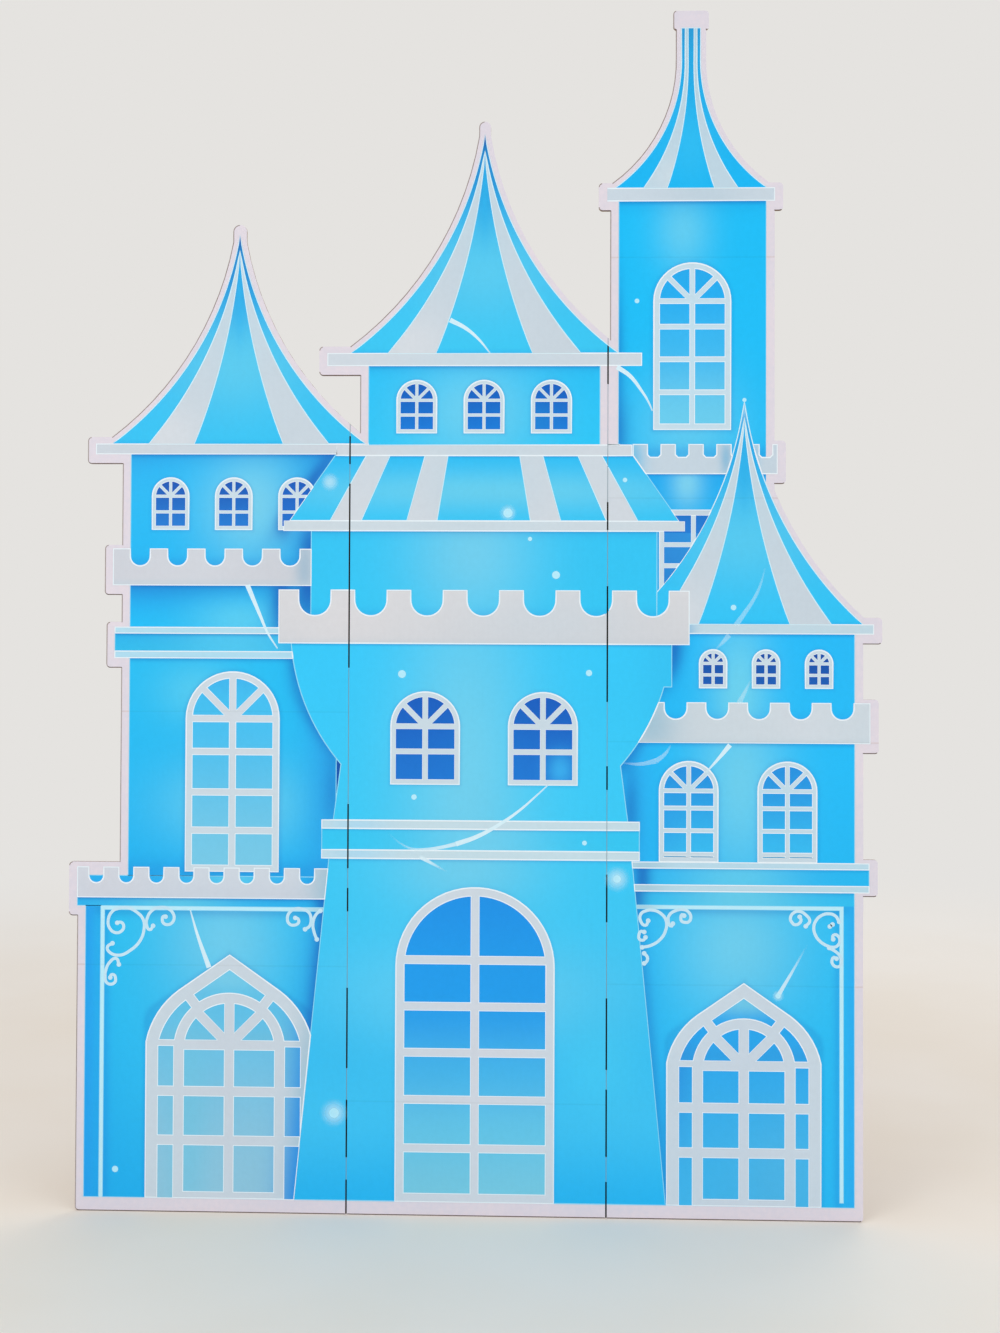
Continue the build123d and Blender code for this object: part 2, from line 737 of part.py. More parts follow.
def silhouette():
    """Die line: every outer course of the print with a white border around it."""
    side = border_width * 2
    rise = border_rise
    drop = border_drop
    left_wall_side = left_axis - left_wall_width / 2 - border_width
    crown_side = crown_axis - crown_wall_width / 2 - border_width
    tall_side = tall_axis + tall_wall_width / 2 + border_width
    turret_side = right_axis + right_wall_width / 2 + border_width
    right_side = right_axis + right_gatehouse_wall_width / 2 + border_width
    blocks = [
        block(-gatehouse_wall_width / 2 + left_axis - border_width, right_side, 0,
              right_band_foot),
        course(left_axis, parapet_width + side, parapet_strip_foot - drop, parapet_top + rise),
        block(left_wall_side, turret_side, parapet_strip_foot, right_eave_foot),
        course(left_axis, left_band_width + side, left_band_foot - drop, left_neck_foot + rise),
        course(left_axis, left_battlement_width + side, left_battlement_foot - drop,
               left_upper_wall_foot + battlement_border_rise),
        block(left_wall_side, tall_side, right_eave_foot, left_eave_foot),
        course(left_axis, left_eave_width + side, left_eave_foot - drop,
               left_roof_foot + eave_border_rise),
        block(crown_side, tall_side, left_eave_foot, crown_eave_foot),
        course(crown_axis, crown_eave_width + side, crown_eave_foot - drop,
               crown_roof_foot + eave_border_rise),
        course(tall_axis, tall_wall_width + side, tall_wall_line, tall_eave_foot),
        course(spire_axis, tall_eave_width + side, tall_eave_foot - drop, spire_foot + rise),
        course(tall_axis, tall_battlement_width + side, tall_battlement_foot - drop,
               tall_wall_line + battlement_border_rise),
        course(right_axis, right_eave_width + side, right_eave_foot - drop,
               right_roof_foot + eave_border_rise),
        course(right_axis, right_battlement_width + side, right_battlement_foot - drop,
               right_upper_wall_foot + battlement_border_rise),
        course(right_axis, right_band_width + side, right_band_foot - right_band_border,
               right_wall_foot + right_band_border),
    ]
    outline = Sketch() + blocks
    rounded = offset(offset(outline, -die_corner_radius), die_corner_radius)
    roofs = [
        bell(left_roof_axis, left_roof_foot, left_roof_width, left_roof_height, roof_bow_share),
        bell(crown_axis, crown_roof_foot, crown_roof_width, crown_roof_height, roof_bow_share),
        bell(right_axis, right_roof_foot, right_roof_width, right_roof_height, roof_bow_share),
        spire(spire_axis, spire_foot, spire_width, spire_flare_height, spire_neck_width,
              spire_neck_height, spire_bow_share),
    ]
    bordered = [offset(roof, roof_border) for roof in roofs]
    for axis, tip, finial_width, finial_rise in (
            (left_roof_axis, left_tip, left_finial_width, left_finial_rise),
            (crown_axis, crown_tip, centre_finial_width, centre_finial_rise)):
        length = finial_rise + finial_width * 2
        bordered.append(Pos(axis, tip + finial_rise - length / 2)
                        * SlotOverall(length, finial_width, rotation=90))
    cap = RectangleRounded(spire_cap_width, spire_cap_height, spire_cap_radius)
    bordered.append(Pos(spire_axis, spire_top - spire_cap_lap + spire_cap_height / 2) * cap)
    return rounded + bordered


def fold_cuts(width, wanted_slits):
    """Strips along both folds: the open slits, or the closed creases between them."""
    strips = []
    folds = ((left_fold_x, left_fold_height, left_slit_shares),
             (right_fold_x, right_fold_height, right_slit_shares))
    for fold_x, height, shares in folds:
        marks = [mark for pair in shares for mark in pair]
        if not wanted_slits:
            marks = marks[1:] + [1 + overrun / height]
        for low, high in zip(marks[::2], marks[1::2]):
            strips.append(course(fold_x, width, height * low, height * high))
    return Sketch() + strips


# Solids

def touches(first, second):
    """True where the boxes of two flat shapes meet."""
    one = first.bounding_box()
    two = second.bounding_box()
    across = one.min.X < two.max.X and two.min.X < one.max.X
    upward = one.min.Y < two.max.Y and two.min.Y < one.max.Y
    return across and upward


def printed_nodes():
    """Solids of each ink: what later shapes of its own or a lower layer leave in sight."""
    cuts = fold_cuts(slit_width, True) + fold_cuts(crease_width, False)
    nodes = {}
    for index, (node, layer, shape) in enumerate(artwork):
        later = artwork[index + 1:]
        covering_layers = layer_order[:layer_order.index(layer) + 1]
        cover = [other for _, other_layer, other in later
                 if other_layer in covering_layers and touches(shape, other)]
        if touches(shape, cuts):
            cover.append(cuts)
        seen = shape - cover if cover else shape
        plane, thickness = ink_layers[layer]
        solids = [extrude(plane * face, thickness) for face in seen.faces()]
        nodes.setdefault(node, []).extend(solids)
    return nodes


def castle_board():
    """Corrugated sheet with its die-cut outline, cut through to the liner along the slits."""
    outline = silhouette()
    front = front_plane(board_front)
    sheet = extrude(front * outline, -board_thickness)
    slits = fold_cuts(slit_width, True)
    creases = fold_cuts(crease_width, False)
    groove = extrude(front * slits, -(board_thickness - liner_thickness))
    score = extrude(front * creases, -crease_depth)
    return sheet - groove - score


def easel():
    """Folded card: a plate on the board's back, two tapered wings and a lock flap."""
    middle = (left_fold_x + right_fold_x) / 2
    half_width = easel_width / 2
    inner_half = half_width - easel_thickness
    bend = easel_bend_radius
    section = Pos(0, easel_reach / 2) * Rectangle(easel_width, easel_reach)
    section = fillet(section.vertices().group_by(Axis.Y)[0], bend + easel_thickness)
    hollow = Pos(0, easel_thickness + easel_reach / 2) * Rectangle(inner_half * 2, easel_reach)
    hollow = fillet(hollow.vertices().group_by(Axis.Y)[0], bend)
    channel = extrude(section - hollow, easel_height)
    side_plane = Plane(origin=(-easel_width, 0, 0), x_dir=(0, 1, 0), z_dir=(1, 0, 0))
    profile = make_face(Polyline((0, 0), (easel_reach, 0), (easel_top_reach, easel_height),
                                 (0, easel_height), close=True))
    channel = channel & extrude(side_plane * profile, easel_width * 2)
    flap_half = inner_half - bend - flap_clearance
    window = Box(flap_half * 2, overrun * 2, flap_reach,
                 align=(Align.CENTER, Align.CENTER, Align.MIN))
    channel = channel - Pos(0, 0, flap_height + easel_thickness) * window
    slot = Box(easel_width * 2, flap_ear_width + flap_slot_clearance * 2,
               easel_thickness + flap_slot_clearance * 2,
               align=(Align.CENTER, Align.CENTER, Align.CENTER))
    ear_level = flap_height + easel_thickness / 2
    ear_middle = flap_reach - flap_ear_width
    channel = channel - Pos(0, ear_middle, ear_level) * slot
    flap = Box(flap_half * 2, flap_reach, easel_thickness,
               align=(Align.CENTER, Align.MIN, Align.CENTER))
    ears = Box((half_width + flap_ear_length) * 2, flap_ear_width, easel_thickness,
               align=(Align.CENTER, Align.CENTER, Align.CENTER))
    lock = Pos(0, 0, ear_level) * flap + Pos(0, ear_middle, ear_level) * ears
    return Pos(middle, board_back, 0) * (channel + lock)


def build():
    """Write every node to its own file."""
    os.makedirs("parts", exist_ok=True)
    paint_tall_tower()
    paint_left_tower()
    paint_right_turret()
    paint_left_gatehouse()
    paint_right_gatehouse()
    paint_keep()
    nodes = {"castle_board": [castle_board()], "easel": [easel()]}
    nodes.update(printed_nodes())
    for node, solids in nodes.items():
        export_step(Compound(children=solids), os.path.join("parts", node + ".step"))
        print(node, len(solids))


build()
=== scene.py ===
import logging
import math
from dataclasses import dataclass, field
from enum import Enum
from typing import Callable, Iterable, Optional, Sequence, Union

import bpy
from mathutils import Matrix, Vector


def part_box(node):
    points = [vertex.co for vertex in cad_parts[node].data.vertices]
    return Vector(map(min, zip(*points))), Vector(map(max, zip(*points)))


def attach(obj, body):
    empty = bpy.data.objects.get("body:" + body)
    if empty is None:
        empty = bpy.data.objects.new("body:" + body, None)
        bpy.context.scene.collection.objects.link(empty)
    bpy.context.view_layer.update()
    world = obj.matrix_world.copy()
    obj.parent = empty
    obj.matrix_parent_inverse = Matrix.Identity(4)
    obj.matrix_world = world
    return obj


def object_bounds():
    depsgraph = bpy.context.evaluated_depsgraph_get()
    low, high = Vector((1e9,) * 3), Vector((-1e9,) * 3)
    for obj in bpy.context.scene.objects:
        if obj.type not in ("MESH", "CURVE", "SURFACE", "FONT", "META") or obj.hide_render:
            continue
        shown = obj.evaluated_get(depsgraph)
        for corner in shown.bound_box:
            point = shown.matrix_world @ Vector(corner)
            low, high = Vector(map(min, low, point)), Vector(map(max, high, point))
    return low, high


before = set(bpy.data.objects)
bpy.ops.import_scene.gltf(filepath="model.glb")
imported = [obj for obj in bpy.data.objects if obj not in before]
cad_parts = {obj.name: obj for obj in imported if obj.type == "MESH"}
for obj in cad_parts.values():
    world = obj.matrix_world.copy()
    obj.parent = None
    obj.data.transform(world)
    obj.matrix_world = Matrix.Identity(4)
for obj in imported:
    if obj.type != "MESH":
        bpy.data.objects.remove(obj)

LOG = logging.getLogger("cardboard_castle")

MM = 0.001
WIDE = 100000.0
ROOT = "root"
FADE = "fade"
RADIUS = "radius"

CAD_LOW, CAD_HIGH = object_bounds()
BOARD_LOW, BOARD_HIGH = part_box("castle_board")
WALL_LOW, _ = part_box("left_tower_wall")
PANES_LOW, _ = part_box("dark_panes")

BOARD_FRONT = BOARD_LOW.y
BOARD_BACK = BOARD_HIGH.y
FIELD_FRONT = WALL_LOW.y
TOP_FRONT = PANES_LOW.y

LEFT_FOLD = -189.5
RIGHT_FOLD = 202.5
FOLD_MARGIN = 2.6
FLUTE_PITCH = 7.5
CREASE_WIDTH = 1.1
CREASE_LEVELS = {
    "left": (757.0, 372.0),
    "middle": (170.0,),
    "right": (1448.0, 1083.0, 715.0, 350.0),
}
GABLE_SLOPE = math.radians(34.7)
GABLE_BOW = 22.0
MOTTLE_LOW = 0.35
MOTTLE_HIGH = 0.65
INK_GLOSS = 0.14
FACES_FRONT = -0.5
FACES_BACK = 0.5

FULL_LEVEL = 255
TOE_END = 0.04045
TOE_SLOPE = 12.92
CURVE_OFFSET = 0.055
CURVE_POWER = 2.4

Colour = tuple[float, float, float, float]
Socket = Union[bpy.types.NodeSocket, float]
Point = tuple[float, float]


def linear(level: float) -> float:
    """One printed level of 0 to 255 as scene-linear light.

    Args:
        level: the level that a screen shows.

    Returns:
        The light, 0 to 1.
    """
    share = level / FULL_LEVEL
    if share <= TOE_END:
        return share / TOE_SLOPE
    return ((share + CURVE_OFFSET) / (1 + CURVE_OFFSET)) ** CURVE_POWER


def ink(red: float, green: float, blue: float) -> Colour:
    """A printed colour, given in display levels, as a linear shader colour."""
    return linear(red), linear(green), linear(blue), 1.0


DEEP = ink(14, 84, 186)
SHADE = ink(28, 128, 218)
RIM_WHITE = ink(236, 246, 252)


@dataclass(frozen=True)
class Wash:
    """A soft cloud of one colour on the print, in millimetres.

    It fades out from its centre, and with a lean its middle line runs sideways as it rises.
    """

    colour: Colour
    x: float = 0.0
    z: float = 0.0
    reach_x: float = WIDE
    reach_z: float = WIDE
    strength: float = 1.0
    lean: float = 0.0


@dataclass(frozen=True)
class Halo:
    """The soft shade that a window's frame throws on the wall around it, in millimetres."""

    axis: float
    foot: float
    width: float
    height: float
    reach: float = 8.0
    strength: float = 0.55
    colour: Colour = DEEP
    gabled: bool = False


@dataclass(frozen=True)
class Course:
    """One level of the print: a colour that changes from its foot to its top, with washes."""

    foot: float
    top: float
    low: Colour
    high: Colour
    washes: tuple[Wash, ...] = ()
    halos: tuple[Halo, ...] = ()


class Graph:
    """A node tree under construction, with short calls for the usual nodes."""

    mix_under: int = 6
    mix_over: int = 7
    mix_result: int = 2

    def __init__(self, tree: bpy.types.NodeTree) -> None:
        """Start on an empty tree.

        Args:
            tree: the tree that the nodes go into.
        """
        self.tree = tree
        self.tree.nodes.clear()

    def node(self, kind: str, **settings: object) -> bpy.types.Node:
        """Add a node.

        Args:
            kind: Blender's name of the node type.
            settings: its properties, by name.

        Returns:
            The new node.
        """
        made = self.tree.nodes.new(kind)
        for name, value in settings.items():
            setattr(made, name, value)
        return made

    def feed(self, socket: bpy.types.NodeSocket, value: Union[Socket, Colour, None]) -> None:
        """Link a socket to another, or set its value.

        Args:
            socket: the input that is fed.
            value: a socket, a number or a colour, or None to leave it as it is.
        """
        if isinstance(value, bpy.types.NodeSocket):
            self.tree.links.new(value, socket)
        elif value is not None:
            socket.default_value = value

    def math(self, operation: str, first: Socket, second: Optional[Socket] = None,
             third: Optional[Socket] = None, clamp: bool = False) -> bpy.types.NodeSocket:
        """Add a math node.

        Args:
            operation: Blender's name of the operation.
            first: the first value.
            second: the second value, where it has one.
            third: the third value, where it has one.
            clamp: whether the result stays between 0 and 1.

        Returns:
            The socket with the result.
        """
        made = self.node("ShaderNodeMath", operation=operation, use_clamp=clamp)
        for socket, value in zip(made.inputs, (first, second, third)):
            self.feed(socket, value)
        return made.outputs[0]

    def mix(self, factor: Socket, under: Union[Socket, Colour], over: Union[Socket, Colour],
            blend: str = "MIX") -> bpy.types.NodeSocket:
        """Lay one colour over another.

        Args:
            factor: how much of the upper colour shows.
            under: the lower colour.
            over: the upper colour.
            blend: Blender's name of the blend mode.

        Returns:
            The socket with the mixed colour.
        """
        made = self.node("ShaderNodeMix", data_type="RGBA", blend_type=blend)
        self.feed(made.inputs[0], factor)
        self.feed(made.inputs[self.mix_under], under)
        self.feed(made.inputs[self.mix_over], over)
        return made.outputs[self.mix_result]

    def smooth(self, value: Socket, low: Socket, high: Socket, start: float = 0.0,
               end: float = 1.0) -> bpy.types.NodeSocket:
        """Turn a value into a smooth step from start at low to end at high.

        Args:
            value: the value that is read.
            low: where the step begins.
            high: where it ends.
            start: the result before the step.
            end: the result after it.

        Returns:
            The socket with the result.
        """
        made = self.node("ShaderNodeMapRange", interpolation_type="SMOOTHSTEP")
        for socket, given in zip(made.inputs, (value, low, high, start, end)):
            self.feed(socket, given)
        return made.outputs[0]

    def noise(self, place: Socket, scale: float, detail: float = 3.0,
              roughness: float = 0.55) -> bpy.types.NodeSocket:
        """Add a noise texture and return its value socket.

        Args:
            place: the vector that it reads.
            scale: how many features fit in a metre.
            detail: the number of finer layers.
            roughness: how strong these are.

        Returns:
            The socket with the noise, about 0.5 in the middle.
        """
        made = self.node("ShaderNodeTexNoise")
        self.feed(made.inputs["Vector"], place)
        made.inputs["Scale"].default_value = scale
        made.inputs["Detail"].default_value = detail
        made.inputs["Roughness"].default_value = roughness
        return made.outputs["Fac"]

    def split(self, vector: bpy.types.NodeSocket) -> tuple[bpy.types.NodeSocket, ...]:
        """Return the x, y and z sockets of a vector.

        Args:
            vector: the vector that is taken apart.

        Returns:
            The three sockets.
        """
        made = self.node("ShaderNodeSeparateXYZ")
        self.feed(made.inputs[0], vector)
        return tuple(made.outputs)

    def seen_directly(self) -> bpy.types.NodeSocket:
        """Return a socket that is 1 for rays from the camera, also by mirror or through glass.

        Returns:
            The socket.
        """
        rays = self.node("ShaderNodeLightPath")
        return self.math("ADD", rays.outputs["Is Camera Ray"], self.math(
            "ADD", rays.outputs["Is Glossy Ray"], rays.outputs["Is Transmission Ray"]),
            clamp=True)

    def place(self, group: bpy.types.NodeTree,
              **values: Union[Socket, Colour]) -> bpy.types.Node:
        """Place a shared shader group.

        Args:
            group: the group.
            values: its inputs, with underscores for the spaces in their names.

        Returns:
            The group's node.
        """
        made = self.node("ShaderNodeGroup", node_tree=group)
        for name, value in values.items():
            self.feed(made.inputs[name.replace("_", " ")], value)
        return made


class Effect(Enum):
    """The shared shader effects."""

    WASH = "soft wash"
    COURSE = "printed course"
    HALO = "window halo"
    GABLE = "gabled window halo"
    PAPER = "coated paper"
    CREASE = "crossing creases"
    FLUTES = "fluted cut edge"


@dataclass
class EffectLibrary:
    """Builds each shared shader group once.

    Scales are features in a metre, and lengths are in metres.
    """

    patch_scale: float = 5.0
    grain_scale: float = 900.0
    fibre_scale: float = 120.0
    fibre_detail: float = 4.0
    wobble_scale: float = 3.0
    wobble: float = 0.003
    ragged_scale: float = 160.0
    ragged: float = 0.0024
    swing_share: float = 1.4
    liner_share: float = 1.6
    level_low: float = 0.3
    level_high: float = 0.7
    medium_core: float = 0.0002
    medium_edge: float = 0.0006
    made: dict[Effect, bpy.types.NodeTree] = field(default_factory=dict)

    def get(self, effect: Effect) -> bpy.types.NodeTree:
        """Return the group of an effect, built on its first use.

        Args:
            effect: the effect that is wanted.

        Returns:
            The group.
        """
        if effect not in self.made:
            builders: dict[Effect, Callable[[], bpy.types.NodeTree]] = {
                Effect.WASH: self._wash,
                Effect.COURSE: self._course,
                Effect.HALO: lambda: self._halo(Effect.HALO),
                Effect.GABLE: lambda: self._halo(Effect.GABLE),
                Effect.PAPER: self._paper,
                Effect.CREASE: self._crease,
                Effect.FLUTES: self._flutes,
            }
            self.made[effect] = builders[effect]()
        return self.made[effect]

    @staticmethod
    def _start(effect: Effect, inputs: dict[str, str], outputs: dict[str, str]
               ) -> tuple[Graph, bpy.types.NodeOutputs, bpy.types.NodeInputs]:
        """Start a group with named sockets.

        Args:
            effect: the effect that it makes.
            inputs: kinds of the inputs, by name.
            outputs: kinds of the outputs, by name.

        Returns:
            The group's graph, the sockets of its inputs and the sockets of its outputs.
        """
        tree = bpy.data.node_groups.new(effect.value, "ShaderNodeTree")
        for name, kind in inputs.items():
            tree.interface.new_socket(name, in_out="INPUT", socket_type="NodeSocket" + kind)
        for name, kind in outputs.items():
            tree.interface.new_socket(name, in_out="OUTPUT", socket_type="NodeSocket" + kind)
        graph = Graph(tree)
        return (graph, graph.node("NodeGroupInput").outputs,
                graph.node("NodeGroupOutput").inputs)

    def _wash(self) -> bpy.types.NodeTree:
        """Soft cloud of colour round a centre, with a middle line that may lean.

        Returns:
            The group, which puts out the colour.
        """
        graph, given, result = self._start(
            Effect.WASH,
            {"Under": "Color", "Colour": "Color", "Place": "Vector", "Centre X": "Float",
             "Centre Z": "Float", "Lean": "Float", "Reach X": "Float", "Reach Z": "Float",
             "Strength": "Float"},
            {"Colour": "Color"})
        x, _, z = graph.split(given["Place"])
        rise = graph.math("SUBTRACT", z, given["Centre Z"])
        middle = graph.math("MULTIPLY_ADD", rise, given["Lean"], given["Centre X"])
        across = graph.math("DIVIDE", graph.math("SUBTRACT", x, middle), given["Reach X"])
        along = graph.math("DIVIDE", rise, given["Reach Z"])
        square = graph.math("MULTIPLY_ADD", along, along, graph.math("MULTIPLY", across, across))
        fade = graph.math("EXPONENT", graph.math("MULTIPLY", square, -1.0))
        factor = graph.math("MULTIPLY", fade, given["Strength"])
        graph.feed(result["Colour"], graph.mix(factor, given["Under"], given["Colour"]))
        return graph.tree

    def _course(self) -> bpy.types.NodeTree:
        """Shows the course's own colour between its foot and its top.

        Returns:
            The group, which puts out the colour.
        """
        graph, given, result = self._start(
            Effect.COURSE,
            {"Under": "Color", "Course": "Color", "Place": "Vector", "Foot": "Float",
             "Top": "Float"},
            {"Colour": "Color"})
        _, _, z = graph.split(given["Place"])
        above = graph.math("GREATER_THAN", z, given["Foot"])
        below = graph.math("LESS_THAN", z, given["Top"])
        inside = graph.math("MULTIPLY", above, below)
        graph.feed(result["Colour"], graph.mix(inside, given["Under"], given["Course"]))
        return graph.tree

    def _halo(self, effect: Effect) -> bpy.types.NodeTree:
        """Soft shade around a window with a round or a gabled head.

        Args:
            effect: HALO for a round head, or GABLE for one with straight slopes.

        Returns:
            The group.
        """
        graph, given, result = self._start(
            effect,
            {"Under": "Color", "Colour": "Color", "Place": "Vector", "Axis": "Float",
             "Foot": "Float", "Peak": "Float", "Half Width": "Float", "Reach": "Float",
             "Strength": "Float"},
            {"Colour": "Color"})
        x, _, z = graph.split(given["Place"])
        across = graph.math("ABSOLUTE", graph.math("SUBTRACT", x, given["Axis"]))
        below = graph.math("MAXIMUM", graph.math("SUBTRACT", given["Foot"], z), 0.0)
        if effect is Effect.HALO:
            spring = graph.math("SUBTRACT", given["Peak"], given["Half Width"])
            above = graph.math("MAXIMUM", graph.math("SUBTRACT", z, spring), 0.0)
            square = graph.math("MULTIPLY_ADD", above, above,
                                graph.math("MULTIPLY", across, across))
            head = graph.math("SUBTRACT", graph.math("SQRT", square), given["Half Width"])
        else:
            rise = graph.math("MULTIPLY", graph.math("SUBTRACT", z, given["Peak"]),
                              math.cos(GABLE_SLOPE))
            slope = graph.math("MULTIPLY_ADD", across, math.sin(GABLE_SLOPE), rise)
            flank = graph.math("SUBTRACT", across, given["Half Width"])
            head = graph.math("SMOOTH_MAX", slope, flank, GABLE_BOW * MM)
        side = graph.math("MAXIMUM", head, 0.0)
        apart = graph.math("SQRT", graph.math("MULTIPLY_ADD", below, below,
                                              graph.math("MULTIPLY", side, side)))
        share = graph.math("DIVIDE", apart, given["Reach"])
        fade = graph.math("EXPONENT", graph.math("MULTIPLY", graph.math("MULTIPLY", share, share),
                                                 -1.0))
        factor = graph.math("MULTIPLY", fade, given["Strength"])
        graph.feed(result["Colour"], graph.mix(factor, given["Under"], given["Colour"]))
        return graph.tree

    def _paper(self) -> bpy.types.NodeTree:
        """Coated liner over the flutes: washboard, waviness, grain and a faint mottle.

        Returns:
            The group, which puts out a height and two masks.
        """
        graph, given, result = self._start(
            Effect.PAPER,
            {"Place": "Vector", "Flute Pitch": "Float", "Flute Height": "Float",
             "Grain Height": "Float", "Wave Height": "Float"},
            {"Height": "Float", "Mottle": "Float", "Streak": "Float"})
        x, _, _ = graph.split(given["Place"])
        turn = graph.math("DIVIDE", graph.math("MULTIPLY", x, 2 * math.pi),
                          given["Flute Pitch"])
        washboard = graph.math("SINE", turn)
        patch = graph.noise(given["Place"], self.patch_scale, 2.0)
        grain = graph.noise(given["Place"], self.grain_scale, 2.0)
        fibre = graph.noise(given["Place"], self.fibre_scale, self.fibre_detail)
        height = graph.math("MULTIPLY", washboard, given["Flute Height"])
        height = graph.math("MULTIPLY_ADD", patch, given["Wave Height"], height)
        height = graph.math("MULTIPLY_ADD", grain, given["Grain Height"], height)
        graph.feed(result["Height"], height)
        soft = graph.math("MULTIPLY", graph.math("ADD", patch, fibre), 0.5)
        graph.feed(result["Mottle"], soft)
        graph.feed(result["Streak"], graph.math("MULTIPLY_ADD", washboard, 0.5, 0.5))
        return graph.tree

    def _crease(self) -> bpy.types.NodeTree:
        """Faint level creases where the folded sheet was bundled, panel by panel.

        Returns:
            The group, which puts out the mask of the lines.
        """
        graph, given, result = self._start(
            Effect.CREASE, {"Place": "Vector", "Width": "Float"}, {"Line": "Float"})
        x, _, z = graph.split(given["Place"])
        left_panel = graph.math("LESS_THAN", x, LEFT_FOLD * MM)
        right_panel = graph.math("GREATER_THAN", x, RIGHT_FOLD * MM)
        middle_panel = graph.math("SUBTRACT", graph.math("SUBTRACT", 1.0, left_panel), right_panel)
        drift = graph.noise(given["Place"], self.wobble_scale, 1.0)
        level = graph.math("MULTIPLY_ADD", drift, self.wobble, z)
        total: Socket = 0.0
        panels = {"left": left_panel, "middle": middle_panel, "right": right_panel}
        for panel, heights in CREASE_LEVELS.items():
            for crease in heights:
                middle = crease * MM + self.wobble / 2
                apart = graph.math("DIVIDE", graph.math("SUBTRACT", level, middle),
                                   given["Width"])
                fade = graph.math("EXPONENT", graph.math(
                    "MULTIPLY", graph.math("MULTIPLY", apart, apart), -1.0))
                total = graph.math("MULTIPLY_ADD", fade, panels[panel], total)
        graph.feed(result["Line"], total)
        return graph.tree

    def _flutes(self) -> bpy.types.NodeTree:
        """Cut edge of corrugated board: two liners with a waved medium between them.

        Returns:
            The group, which puts out the mask of the card.
        """
        graph, given, result = self._start(
            Effect.FLUTES,
            {"Place": "Vector", "Normal": "Vector", "Front": "Float", "Back": "Float",
             "Flute Pitch": "Float", "Liner": "Float"},
            {"Card": "Float"})
        x, y, _ = graph.split(given["Place"])
        _, _, up = graph.split(given["Normal"])
        middle = graph.math("MULTIPLY", graph.math("ADD", given["Front"], given["Back"]), 0.5)
        half = graph.math("MULTIPLY", graph.math("SUBTRACT", given["Back"], given["Front"]), 0.5)
        off = graph.math("SUBTRACT", y, middle)
        swing = graph.math("SUBTRACT", half, graph.math("MULTIPLY", given["Liner"],
                                                        self.swing_share))
        turn = graph.math("DIVIDE", graph.math("MULTIPLY", x, 2 * math.pi), given["Flute Pitch"])
        wave = graph.math("MULTIPLY", graph.math("SINE", turn), swing)
        ragged = graph.math("MULTIPLY", graph.math("SUBTRACT", graph.noise(
            given["Place"], self.ragged_scale), 0.5), self.ragged)
        crushed = graph.math("ADD", wave, ragged)
        level_edge = graph.smooth(graph.math("ABSOLUTE", up), self.level_low, self.level_high)
        line = graph.math("MULTIPLY", crushed, level_edge)
        from_line = graph.math("ABSOLUTE", graph.math("SUBTRACT", off, line))
        medium = graph.smooth(from_line, self.medium_core, self.medium_edge, 1.0, 0.0)
        from_liner = graph.math("SUBTRACT", half, graph.math("ABSOLUTE", off))
        liner = graph.smooth(from_liner, given["Liner"], graph.math(
            "MULTIPLY", given["Liner"], self.liner_share), 1.0, 0.0)
        graph.feed(result["Card"], graph.math("MAXIMUM", medium, liner))
        return graph.tree


EFFECTS = EffectLibrary()


def new_material(name: str) -> tuple[bpy.types.Material, Graph, bpy.types.Node]:
    """Start a material on the Principled shader.

    Args:
        name: the material's name.

    Returns:
        The material, its graph and its Principled node.
    """
    material = bpy.data.materials.new(name)
    material.use_nodes = True
    graph = Graph(material.node_tree)
    surface = graph.node("ShaderNodeBsdfPrincipled")
    output = graph.node("ShaderNodeOutputMaterial")
    graph.feed(output.inputs["Surface"], surface.outputs[0])
    return material, graph, surface


@dataclass(frozen=True)
class Relief:
    """Heights of a paper's relief in metres, and its roughness on glossy and dull spots."""

    flute: float = 0.000012
    grain: float = 0.0000022
    wave: float = 0.0006
    crease: float = 0.00004
    low_roughness: float = 0.36
    high_roughness: float = 0.48


PANE_RELIEF = Relief(low_roughness=0.3, high_roughness=0.42)


def paper_surface(graph: Graph, surface: bpy.types.Node, place: bpy.types.NodeSocket,
                  relief: Relief) -> tuple[bpy.types.NodeSocket, bpy.types.NodeSocket]:
    """Give a surface the relief and gloss of paper on flutes.

    Args:
        graph: the material's graph.
        surface: its Principled node.
        place: the object coordinates.
        relief: the relief's heights and the range of roughness.

    Returns:
        The sockets of the mottle and of the crease lines.
    """
    paper = graph.place(EFFECTS.get(Effect.PAPER), Place=place, Flute_Pitch=FLUTE_PITCH * MM,
                        Flute_Height=relief.flute, Grain_Height=relief.grain,
                        Wave_Height=relief.wave)
    crease = graph.place(EFFECTS.get(Effect.CREASE), Place=place, Width=CREASE_WIDTH * MM)
    height = graph.math("MULTIPLY_ADD", crease.outputs["Line"], -relief.crease,
                        paper.outputs["Height"])
    bump = graph.node("ShaderNodeBump")
    bump.inputs["Distance"].default_value = 1.0
    graph.feed(bump.inputs["Height"], height)
    graph.feed(surface.inputs["Normal"], bump.outputs[0])
    graph.feed(surface.inputs["Roughness"], graph.smooth(
        paper.outputs["Mottle"], MOTTLE_LOW, MOTTLE_HIGH, relief.low_roughness,
        relief.high_roughness))
    return paper.outputs["Mottle"], crease.outputs["Line"]


